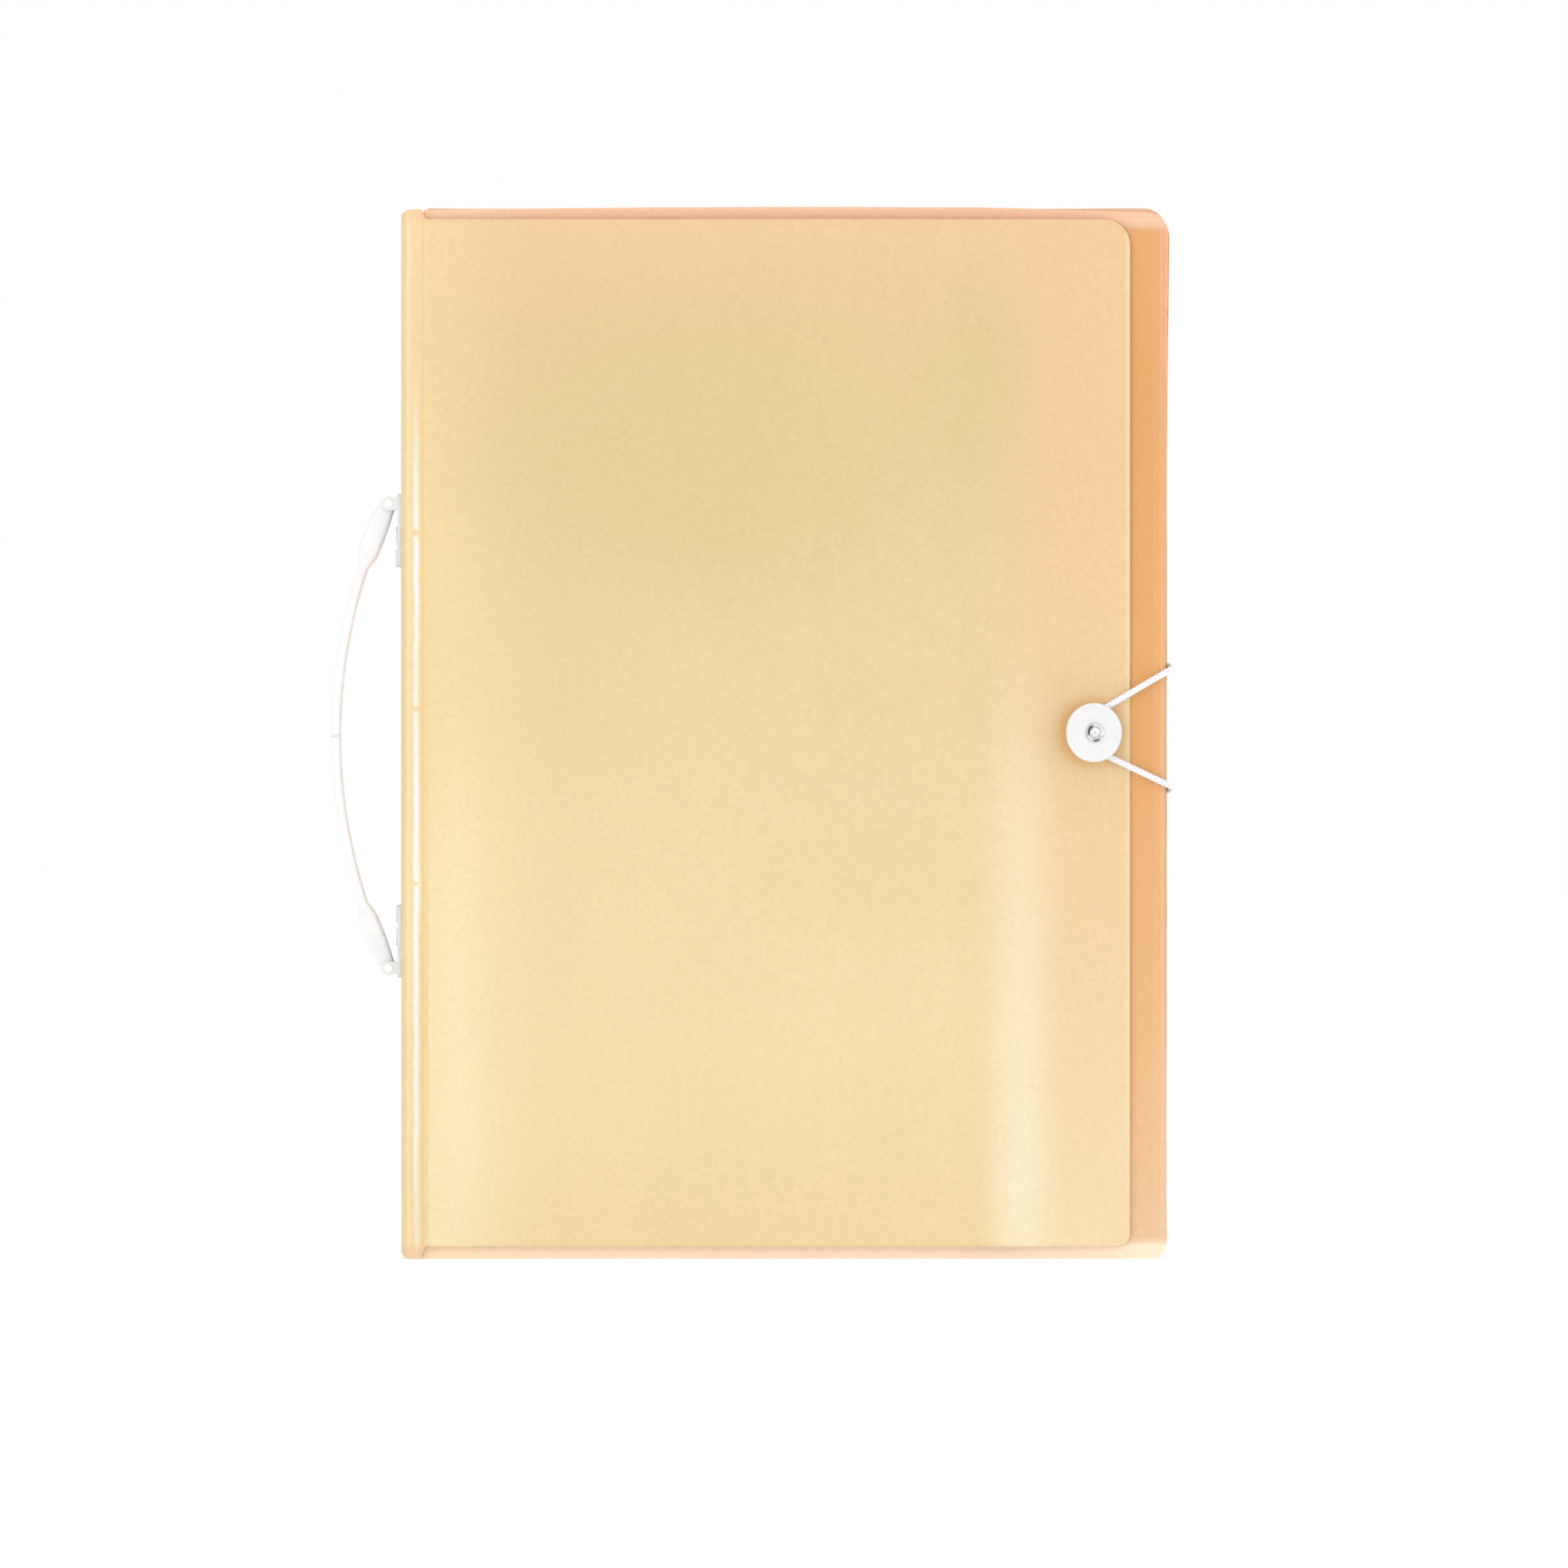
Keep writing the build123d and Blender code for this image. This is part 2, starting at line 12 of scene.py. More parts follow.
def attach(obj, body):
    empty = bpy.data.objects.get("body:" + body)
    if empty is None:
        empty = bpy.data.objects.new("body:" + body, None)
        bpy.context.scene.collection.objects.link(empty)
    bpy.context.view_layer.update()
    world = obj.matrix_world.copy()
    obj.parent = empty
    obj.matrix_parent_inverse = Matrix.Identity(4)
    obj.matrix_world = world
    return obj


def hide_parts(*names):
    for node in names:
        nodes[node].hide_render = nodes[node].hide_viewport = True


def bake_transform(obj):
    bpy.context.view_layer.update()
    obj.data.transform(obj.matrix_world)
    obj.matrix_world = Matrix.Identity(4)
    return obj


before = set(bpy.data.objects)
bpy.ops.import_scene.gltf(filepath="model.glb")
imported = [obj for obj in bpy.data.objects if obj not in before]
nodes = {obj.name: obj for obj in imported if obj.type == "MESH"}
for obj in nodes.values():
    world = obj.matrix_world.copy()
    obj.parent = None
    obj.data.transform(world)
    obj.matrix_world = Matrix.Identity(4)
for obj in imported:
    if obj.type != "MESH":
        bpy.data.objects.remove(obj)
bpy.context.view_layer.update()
MM = 0.001

# The construction axes lie this far from the frame's own, in mm
SX, SY, SZ = 10.2, 3.15, 0.0

HEIGHT = 330.0
COVER_T = 0.8
BACK_Y = 14.0
CREASE_X, CREASE_Y = -115.3, 13.6
SPINE_X, SHOULDER_R = -120.4, 4.4
FLAP_LEFT, FLAP_RIGHT = CREASE_X + 0.65, 108.2
FLAP_Z0, FLAP_Z1 = 4.0, 326.0
POCKETS, PITCH, FIRST_GAP, DIVIDER_T = 12, 1.96, 2.0, 0.4
SHEET_LEFT, SHEET_RIGHT = -112.0, 115.9
SHEET_Z0, SHEET_Z1 = 4.2, 325.8
PLEAT_OUT, PLEAT_FLANGE, PLEAT_CORNER, PLEAT_T = 3.9, 2.0, 3.2, 0.3
FRONT_RIGHT = 119.4
WALL_LEFT = -113.3
BUTTON_FOOT = (94.8, -13.6602, 165.0)
BUTTON_TILT = 20.0


def P(x, y, z):
    """A point given in the construction axes in mm, as the frame's metres."""
    return Vector(((x + SX) * MM, (y + SY) * MM, (z + SZ) * MM))


# ================================================================ camera
scene = bpy.context.scene
PX = 3.66  # photograph pixels per millimetre at the front of the folder
DIST = 5.0
cam_data = bpy.data.cameras.new("Camera")
cam_data.sensor_width = 36.0
cam_data.lens = 36.0 * (DIST + 0.0) / (1800.0 / PX * MM)
cam_data.clip_start, cam_data.clip_end = 0.05, 60.0
cam = bpy.data.objects.new("Camera", cam_data)
scene.collection.objects.link(cam)
view_x = (900.0 - 901.0) / PX + SX
view_z = (1445.0 - 900.0) / PX
front_y = (-11.2 + SY) * MM
cam.location = (view_x * MM, front_y - DIST, view_z * MM)
cam.rotation_euler = (math.radians(90), 0, 0)
scene.camera = cam

# ================================================================ shading
scene.view_settings.view_transform = "Standard"
scene.view_settings.look = "None"
scene.view_settings.exposure = 0.0
scene.view_settings.gamma = 1.0


def lin(r, g, b):
    """sRGB 0-255 to linear."""
    out = []
    for v in (r, g, b):
        c = v / 255.0
        out.append(c / 12.92 if c <= 0.04045 else ((c + 0.055) / 1.055) ** 2.4)
    return (*out, 1.0)


class Nodes:
    """Short hand for building a node tree."""

    def __init__(self, name):
        self.mat = bpy.data.materials.new(name)
        self.mat.use_nodes = True
        self.t = self.mat.node_tree
        self.t.nodes.clear()
        self.out = self.t.nodes.new("ShaderNodeOutputMaterial")
        self.coord = self.t.nodes.new("ShaderNodeTexCoord")

    def new(self, kind, **sets):
        n = self.t.nodes.new(kind)
        for k, v in sets.items():
            setattr(n, k, v)
        return n

    def link(self, a, b):
        self.t.links.new(a, b)

    @property
    def obj(self):
        return self.coord.outputs["Object"]

    def mapping(self, scale=(1, 1, 1), loc=(0, 0, 0), rot=(0, 0, 0)):
        m = self.new("ShaderNodeMapping")
        m.inputs["Scale"].default_value = scale
        m.inputs["Location"].default_value = loc
        m.inputs["Rotation"].default_value = rot
        self.link(self.obj, m.inputs["Vector"])
        return m.outputs["Vector"]

    def noise(self, scale, detail=3.0, rough=0.5, vector=None, dist=0.0):
        n = self.new("ShaderNodeTexNoise")
        n.inputs["Scale"].default_value = scale
        n.inputs["Detail"].default_value = detail
        n.inputs["Roughness"].default_value = rough
        n.inputs["Distortion"].default_value = dist
        self.link(vector if vector is not None else self.obj, n.inputs["Vector"])
        return n.outputs["Fac"]

    def wave(self, scale, vector, direction="X", dist=0.0):
        n = self.new("ShaderNodeTexWave", wave_type="BANDS", bands_direction=direction)
        n.inputs["Scale"].default_value = scale
        n.inputs["Distortion"].default_value = dist
        self.link(vector, n.inputs["Vector"])
        return n.outputs["Fac"]

    def ramp(self, fac, stops, interp="LINEAR"):
        n = self.new("ShaderNodeValToRGB")
        r = n.color_ramp
        r.interpolation = interp
        while len(r.elements) < len(stops):
            r.elements.new(0.5)
        for e, (p, c) in zip(r.elements, stops):
            e.position = p
            e.color = c if isinstance(c, tuple) else (c, c, c, 1)
        self.link(fac, n.inputs["Fac"])
        return n.outputs["Color"]

    def math(self, op, a, b=None, clamp=False):
        n = self.new("ShaderNodeMath", operation=op, use_clamp=clamp)
        for i, v in enumerate((a, b)):
            if v is None:
                continue
            if isinstance(v, (int, float)):
                n.inputs[i].default_value = v
            else:
                self.link(v, n.inputs[i])
        return n.outputs["Value"]

    def remap(self, v, a, b, lo=0.0, hi=1.0):
        n = self.new("ShaderNodeMapRange", clamp=True)
        n.interpolation_type = "SMOOTHSTEP"
        for name, val in (("From Min", a), ("From Max", b), ("To Min", lo), ("To Max", hi)):
            n.inputs[name].default_value = val
        self.link(v, n.inputs["Value"])
        return n.outputs["Result"]

    def remap_linear(self, v, a, b, lo=0.0, hi=1.0):
        n = self.new("ShaderNodeMapRange", clamp=True)
        n.interpolation_type = "LINEAR"
        for name, val in (("From Min", a), ("From Max", b), ("To Min", lo), ("To Max", hi)):
            n.inputs[name].default_value = val
        self.link(v, n.inputs["Value"])
        return n.outputs["Result"]

    def split(self, vector=None):
        n = self.new("ShaderNodeSeparateXYZ")
        self.link(vector if vector is not None else self.obj, n.inputs["Vector"])
        return n.outputs

    def mix(self, fac, a, b, blend="MIX"):
        n = self.new("ShaderNodeMix", data_type="RGBA", blend_type=blend)
        n.clamp_factor = True
        if isinstance(fac, (int, float)):
            n.inputs[0].default_value = fac
        else:
            self.link(fac, n.inputs[0])
        for i, v in ((6, a), (7, b)):
            if isinstance(v, tuple):
                n.inputs[i].default_value = v
            else:
                self.link(v, n.inputs[i])
        return n.outputs[2]

    def bump(self, height, strength, distance, normal=None):
        n = self.new("ShaderNodeBump")
        n.inputs["Strength"].default_value = strength
        n.inputs["Distance"].default_value = distance
        self.link(height, n.inputs["Height"])
        if normal is not None:
            self.link(normal, n.inputs["Normal"])
        return n.outputs["Normal"]

    def principled(self, color, rough, normal=None, **sets):
        n = self.new("ShaderNodeBsdfPrincipled")
        for k, v in sets.items():
            n.inputs[k.replace("_", " ")].default_value = v
        for name, v in (("Base Color", color), ("Roughness", rough)):
            if isinstance(v, (int, float, tuple)):
                n.inputs[name].default_value = v
            else:
                self.link(v, n.inputs[name])
        if normal is not None:
            self.link(normal, n.inputs["Normal"])
        return n

    def finish(self, shader):
        self.link(shader.outputs[0], self.out.inputs["Surface"])
        return self.mat


def px(x):
    """Frame x in metres of a place measured at this pixel column of the 1800 pixel frame."""
    return ((x - 901.0) / PX + SX) * MM


def pz(y):
    """Frame z in metres of a place measured at this pixel row."""
    return (1445.0 - y) / PX * MM


def sheet_material(name, kind):
    """Matt translucent polypropylene sheet. Its tone drifts gently over the sheet, as a thin extruded film over other
    layers does; the flap, spine, pocket wall and gusset also carry painted highlights, painted shade and a painted
    glow.
    """
    m = Nodes(name)
    x, y, z = m.split()

    def bell(v, centre, width):
        """1 at the centre, 0 beyond the width on either side."""
        return m.remap(m.math("ABSOLUTE", m.math("SUBTRACT", v, centre)), width, 0.0)

    def blob(cx, cz, rx, rz):
        dx = m.math("DIVIDE", m.math("SUBTRACT", x, px(cx)), rx * MM)
        dz = m.math("DIVIDE", m.math("SUBTRACT", z, pz(cz)), rz * MM)
        return m.remap(m.math("ADD", m.math("MULTIPLY", dx, dx), m.math("MULTIPLY", dz, dz)), 1.0, 0.0)

    def tint(base, fac, amount, color):
        return m.mix(m.math("MULTIPLY", fac, amount), base, color)

    def column(stops):
        return m.ramp(m.remap_linear(z, 0.0, 0.330), stops)

    grain = m.noise(2300, 2.0, 0.6)
    fine = m.noise(620, 3.0, 0.6)
    cloud = m.noise(13.0, 3.0, 0.5, m.mapping((1, 1, 0.9), (0.3, 0, 0.1)))
    streak = m.noise(34.0, 3.0, 0.6, m.mapping((1.6, 1, 0.10)))
    tone_lo, tone_hi = (0.948, 0.943, 0.905, 1), (0.976, 0.971, 0.946, 1)
    if kind == "flap":
        base = column(
            [
                (0.0, lin(242, 220, 170)),
                (0.20, lin(243, 223, 175)),
                (0.45, lin(240, 218, 170)),
                (0.70, lin(235, 213, 160)),
                (0.88, lin(236, 208, 156)),
                (1.0, lin(242, 210, 162)),
            ]
        )
        # painted sheen: the flap is lighter towards its left and right sides, most of all low down, standing in for
        # soft reflections on the domed film
        left = m.remap(x, px(640), px(500))
        left_sheen_tone = column([(0.0, lin(248, 234, 190)), (0.25, lin(249, 233, 188)), (0.5, lin(244, 224, 172)), (0.85, lin(241, 217, 165)), (1.0, lin(243, 214, 166))])
        base = tint(base, left, 0.95, left_sheen_tone)
        right = m.remap(x, px(1120), px(1215))
        right_sheen_tone = column([(0.0, lin(248, 229, 188)), (0.2, lin(246, 220, 176)), (0.45, lin(244, 213, 166)), (0.7, lin(243, 210, 160)), (1.0, lin(242, 208, 160))])
        base = tint(base, right, 0.95, right_sheen_tone)
        # painted shade: a darker, greener patch over the tabs and papers, with two smaller darker patches beside it
        base = tint(base, blob(830, 520, 100, 62), 0.75, lin(229, 209, 152))
        base = tint(base, blob(1120, 430, 22, 40), 0.45, lin(226, 208, 150))
        base = tint(base, blob(1010, 1010, 55, 26), 0.35, lin(238, 216, 164))
        # painted sheen: soft vertical highlights where the film stands off the body
        painted_sheen_right = m.ramp(m.remap_linear(z, 0.0, 0.330), [(0.0, 0.75), (0.07, 1.0), (0.18, 0.75), (0.45, 0.40), (0.60, 0.0), (1.0, 0.0)])
        base = tint(base, m.math("MULTIPLY", bell(x, px(1172), 0.015), painted_sheen_right), 0.95, lin(252, 243, 214))
        painted_sheen_left = m.ramp(m.remap_linear(z, 0.0, 0.330), [(0.0, 0.5), (0.10, 1.0), (0.35, 0.7), (0.55, 0.0), (1.0, 0.0)])
        base = tint(base, m.math("MULTIPLY", bell(x, px(528), 0.012), painted_sheen_left), 0.40, lin(252, 241, 205))
        # painted highlight along the thin free edge
        base = tint(base, m.remap(x, px(1290.5), px(1293.5)), 0.55, lin(250, 226, 186))
        # painted shadow: the button's shade on the film beside it, tinted amber
        base = tint(base, blob(1250, 842, 13.2, 13.6), 0.80, lin(240, 186, 100))
        base = tint(base, m.remap(z, pz(262), pz(252)), 0.25, lin(243, 200, 160))
    elif kind == "back":
        base = column([(0.0, lin(245, 205, 150)), (0.5, lin(240, 196, 136)), (1.0, lin(242, 200, 146))])
        base = tint(base, m.remap(x, px(1325), px(1342)), 0.6, lin(244, 196, 158))
        base = tint(base, bell(x, px(700), 0.05), 0.35, lin(247, 214, 164))
    elif kind == "spine":
        base = column([(0.0, lin(244, 220, 168)), (0.5, lin(243, 220, 166)), (1.0, lin(243, 218, 168))])
        # outermost edge is pink, then a yellow band, a soft painted highlight line and the bright painted highlight
        # along the fold
        base = tint(base, m.remap(x, px(463.5), px(458.5)), 0.8, lin(252, 220, 192))
        waver = m.math("MULTIPLY", m.math("SUBTRACT", m.noise(60.0, 2.0, 0.5, m.mapping((0.1, 0.1, 1.0))), 0.5), 0.0011)
        xs = m.math("ADD", x, waver)
        base = tint(base, bell(xs, px(469.3), 0.0013), 0.65, lin(251, 238, 198))
        gap = m.math("SUBTRACT", 1.0, m.math("MAXIMUM", m.math("MAXIMUM", bell(z, pz(612), 0.0020), bell(z, pz(814), 0.0016)), bell(z, pz(1014), 0.0010)))
        # the painted highlight along the fold is faint at the top, strongest below the middle, and breaks at the nicks
        fold_highlight_strength = m.ramp(
            m.remap_linear(z, 0.0, 0.330),
            [(0.0, 0.35), (0.05, 0.45), (0.12, 0.75), (0.22, 0.85), (0.30, 1.0), (0.44, 1.0), (0.50, 0.9), (0.56, 0.75), (0.66, 1.0), (0.715, 0.85), (0.76, 0.55), (0.82, 0.18), (0.86, 0.0), (1.0, 0.0)],
        )
        fold_highlight = m.math("MULTIPLY", m.math("MULTIPLY", bell(xs, px(477.8), 0.00145), gap), fold_highlight_strength)
        base = tint(base, fold_highlight, 1.0, lin(255, 255, 255))
        # painted highlight: a second pale line beside the fold, about a third of the way up
        low_fold_highlight = m.math("MULTIPLY", bell(xs, px(481.3), 0.0008), m.math("MULTIPLY", bell(z, pz(1010), 0.022), 0.8))
        base = tint(base, low_fold_highlight, 1.0, lin(252, 246, 220))
        # painted shade in the score line where the fold meets the flap
        base = tint(base, bell(xs, px(485.6), 0.0006), 0.55, lin(240, 203, 142))
        ends = m.math("ADD", m.remap(z, pz(258), pz(252)), m.remap(z, pz(1427), pz(1431)))
        base = tint(base, ends, 0.55, lin(245, 208, 172))
    elif kind == "front":
        deep = column(
            [
                (0.0, lin(245, 208, 164)),
                (0.10, lin(244, 200, 150)),
                (0.30, lin(241, 188, 130)),
                (0.50, lin(238, 178, 112)),
                (0.85, lin(236, 174, 106)),
                (1.0, lin(239, 178, 118)),
            ]
        )
        pink = column([(0.0, lin(248, 218, 188)), (0.3, lin(245, 202, 158)), (0.7, lin(241, 187, 132)), (1.0, lin(240, 184, 144))])
        out = m.remap(x, px(1318), px(1340))
        deep = tint(deep, out, 0.75, pink)
        # weld lines of the gusset show as fine pale and pink rules along the closing edge
        for at, amount, tone in ((1325.5, 0.22, (246, 205, 158)), (1330.5, 0.30, (240, 176, 128)), (1333.2, 0.35, (248, 208, 168)), (1336.6, 0.40, (240, 178, 140)), (1339.0, 0.5, (248, 206, 178))):
            deep = tint(deep, bell(x, px(at), 0.00042), amount, lin(*tone))
        top = m.remap(z, pz(266), pz(256))
        low = m.remap(z, pz(1418), pz(1432))
        deep = tint(deep, top, 0.95, m.mix(m.remap(x, px(700), px(480)), lin(247, 206, 176), lin(250, 220, 190)))
        # the bottom margin is paler, partly as the sheet's own tone and partly as painted light standing in for light
        # from the floor that comes through the gusset
        deep = tint(deep, low, 0.95, m.mix(m.remap(x, px(1000), px(480)), lin(255, 236, 216), lin(255, 234, 206)))
        base = deep
        for at in (241.5, 245.5, 249.0):
            base = tint(base, bell(z, pz(at), 0.0004), 0.45, lin(242, 186, 152))
        for at in (1434.5, 1438.0, 1441.5):
            base = tint(base, bell(z, pz(at), 0.0004), 0.4, lin(248, 212, 184))
    elif kind == "pleat":
        # the gusset is paler towards the bottom, partly as its own tone and partly as painted light standing in for
        # light from the floor coming through it
        base = column([(0.0, lin(249, 222, 196)), (0.15, lin(246, 210, 176)), (0.6, lin(243, 194, 146)), (1.0, lin(244, 196, 160))])
    else:  # divider
        base = column([(0.0, lin(243, 200, 146)), (1.0, lin(239, 188, 126))])
    tone = m.math("ADD", m.math("MULTIPLY", cloud, 0.75), m.math("MULTIPLY", streak, 0.25))
    dark = m.mix(m.remap(tone, 0.35, 0.68), tone_lo, tone_hi)
    base = m.mix(1.0, base, dark, "MULTIPLY")
    speck = m.mix(m.remap(fine, 0.3, 0.7), (0.972, 0.972, 0.955, 1), (1.022, 1.022, 1.04, 1))
    base = m.mix(1.0, base, speck, "MULTIPLY")
    rough = m.remap(m.math("ADD", m.math("MULTIPLY", grain, 0.5), m.math("MULTIPLY", cloud, 0.5)), 0.3, 0.7, 0.34, 0.48)
    normal = m.bump(grain, 0.25, 0.00003)
    normal = m.bump(streak, 0.20, 0.0003, normal)
    s = m.principled(base, rough, normal, Specular_IOR_Level=0.42)
    if kind == "front":
        # painted glow: the wall's top and bottom margins emit light of their own, standing in for light from below and
        # above that comes through the thin gusset behind them
        painted_glow_margin = m.math("MAXIMUM", m.math("MULTIPLY", m.remap(z, pz(258), pz(250)), 0.35), m.math("MULTIPLY", m.remap(z, pz(1424), pz(1432)), 0.55))
        m.link(m.mix(painted_glow_margin, (0, 0, 0, 1), base), s.inputs["Emission Color"])
        s.inputs["Emission Strength"].default_value = 0.22
    glow = m.new("ShaderNodeBsdfTranslucent")
    m.link(base, glow.inputs["Color"])
    m.link(normal, glow.inputs["Normal"])
    mixer = m.new("ShaderNodeMixShader")
    mixer.inputs[0].default_value = 0.22
    m.link(s.outputs[0], mixer.inputs[1])
    m.link(glow.outputs[0], mixer.inputs[2])
    m.link(mixer.outputs[0], m.out.inputs["Surface"])
    return m.mat


def white_plastic(name, tint=(244, 244, 243), rough=0.32):
    m = Nodes(name)
    cloud = m.noise(120, 3.0, 0.5)
    grain = m.noise(3000, 2.0, 0.5)
    base = m.mix(m.remap(cloud, 0.35, 0.65), lin(*[v - 5 for v in tint]), lin(*tint))
    r = m.remap(m.noise(260, 3.0, 0.6), 0.3, 0.7, rough - 0.06, rough + 0.1)
    normal = m.bump(grain, 0.15, 0.00002)
    s = m.principled(base, r, normal, Specular_IOR_Level=0.5, Subsurface_Weight=0.15, Subsurface_Scale=0.002)
    return m.finish(s)


def steel(name, dark=0.55, light=0.74, rough=0.18):
    m = Nodes(name)
    x, y, z = m.split()
    brushed = m.noise(2600, 3.0, 0.6)
    base = m.mix(m.remap(brushed, 0.35, 0.65), (dark, dark, dark + 0.01, 1), (light, light, light + 0.01, 1))
    r = m.remap(m.noise(900, 3.0, 0.5), 0.3, 0.7, rough, rough + 0.18)
    s = m.principled(base, r, m.bump(brushed, 0.12, 0.00002), Metallic=1.0)
    return m.finish(s)


def elastic_material(name):
    """Round braided elastic: two crossing runs of yarn, read from the tube's own UVs."""
    m = Nodes(name)
    uv = m.coord.outputs["UV"]
    u, v, _ = m.split(uv)
    a = m.math("SINE", m.math("ADD", m.math("MULTIPLY", u, 6.2832 * 4), m.math("MULTIPLY", v, 6.2832)))
    b = m.math("SINE", m.math("SUBTRACT", m.math("MULTIPLY", u, 6.2832 * 4), m.math("MULTIPLY", v, 6.2832)))
    weave = m.math("MAXIMUM", a, b)
    height = m.remap(weave, -0.2, 1.0)
    fuzz = m.noise(5000, 2.0, 0.6)
    # painted shade: the yarn is darker where the weave lies low between the carriers
    base = m.mix(height, lin(214, 215, 222), lin(238, 240, 248))
    base = m.mix(m.math("MULTIPLY", m.remap(fuzz, 0.35, 0.7), 0.25), base, lin(230, 231, 238))
    normal = m.bump(height, 0.6, 0.00008)
    s = m.principled(base, 0.75, normal, Sheen_Weight=0.25, Sheen_Roughness=0.5, Specular_IOR_Level=0.25)
    return m.finish(s)


def rivet_material(name):
    """Bright nickel with two dark crescents and a dark groove ring painted on the rolled rim, as its shade and
    reflection.
    """
    m = Nodes(name)
    x, y, z = m.split()
    t = math.radians(BUTTON_TILT)
    cx = (BUTTON_FOOT[0] + math.sin(t) * 6.9 + SX) * MM
    dx = m.math("DIVIDE", m.math("SUBTRACT", x, cx), math.cos(t) * MM)
    dz = m.math("DIVIDE", m.math("SUBTRACT", z, BUTTON_FOOT[2] * MM), MM)
    r = m.math("SQRT", m.math("ADD", m.math("MULTIPLY", dx, dx), m.math("MULTIPLY", dz, dz)))

    def painted_crescent(angle, half, radius, width):
        c, q = math.cos(math.radians(angle)), math.sin(math.radians(angle))
        dot = m.math("DIVIDE", m.math("ADD", m.math("MULTIPLY", dx, c), m.math("MULTIPLY", dz, q)), m.math("ADD", r, 0.001))
        around = m.remap(dot, math.cos(math.radians(half)), math.cos(math.radians(half * 0.45)))
        band = m.remap(m.math("ABSOLUTE", m.math("SUBTRACT", r, radius)), width, width * 0.3)
        return m.math("MULTIPLY", around, band)

    brushed = m.noise(1500, 2.0, 0.5)
    base = m.mix(m.remap(brushed, 0.35, 0.65), (0.70, 0.70, 0.71, 1), (0.80, 0.80, 0.81, 1))
    base = m.mix(m.remap(r, 1.75, 1.5), base, (0.60, 0.60, 0.61, 1))
    # painted shade and reflection: two dark crescents on the rolled rim
    base = m.mix(m.math("MULTIPLY", painted_crescent(155, 62, 2.25, 0.62), 0.95), base, (0.06, 0.06, 0.065, 1))
    base = m.mix(m.math("MULTIPLY", painted_crescent(280, 34, 2.55, 0.5), 0.97), base, (0.04, 0.04, 0.045, 1))
    # painted shade: a darker ring in the groove round the rim
    ring = m.remap(m.math("ABSOLUTE", m.math("SUBTRACT", r, 2.75)), 0.3, 0.05)
    base = m.mix(m.math("MULTIPLY", ring, 0.45), base, (0.30, 0.30, 0.31, 1))
    rr = m.remap(m.noise(900, 3.0, 0.5), 0.3, 0.7, 0.22, 0.34)
    s = m.principled(base, rr, m.bump(brushed, 0.05, 0.00001), Metallic=1.0)
    return m.finish(s)


MAT = {
    "rivet": rivet_material("rolled_nickel"),
    "flap": sheet_material("pp_flap", "flap"),
    "spine": sheet_material("pp_spine", "spine"),
    "back": sheet_material("pp_back", "back"),
    "front": sheet_material("pp_front_pocket", "front"),
    "divider": sheet_material("pp_divider", "divider"),
    "pleat": sheet_material("pp_gusset", "pleat"),
    "white": white_plastic("white_moulding", (224, 224, 225)),
    "handle": white_plastic("white_handle", (231, 231, 232), 0.36),
    "steel": steel("nickel_rivet"),
    "pin": steel("satin_pin", 0.84, 0.94, 0.45),
    "elastic": elastic_material("braided_elastic"),
}


# ================================================================ mesh helpers
def mesh_object(name, verts, faces, mat, uvs=None, smooth=True):
    me = bpy.data.meshes.new(name)
    me.from_pydata([tuple(v) for v in verts], [], faces)
    me.validate()
    me.update()
    ob = bpy.data.objects.new(name, me)
    scene.collection.objects.link(ob)
    me.materials.append(mat)
    if smooth:
        me.shade_smooth()
    if uvs is not None:
        layer = me.uv_layers.new(name="UVMap")
        for loop in me.loops:
            layer.data[loop.index].uv = uvs[loop.vertex_index]
    return ob


def bevel(ob, width, segments=2, angle=40):
    b = ob.modifiers.new("edge", "BEVEL")
    b.width = width * MM
    b.segments = segments
    b.limit_method = "ANGLE"
    b.angle_limit = math.radians(angle)
    b.harden_normals = False
    return ob


def smoothstep(a, b, v):
    t = np.clip((v - a) / (b - a), 0, 1)
    return t * t * (3 - 2 * t)


def field(x, z, scale, seed):
    """A smooth noise field over a sheet, x and z in mm."""
    out = np.empty(x.shape)
    flat = out.ravel()
    for i, (a, b) in enumerate(zip(x.ravel(), z.ravel())):
        flat[i] = noise.noise(Vector((a / scale, b / scale, seed)))
    return out


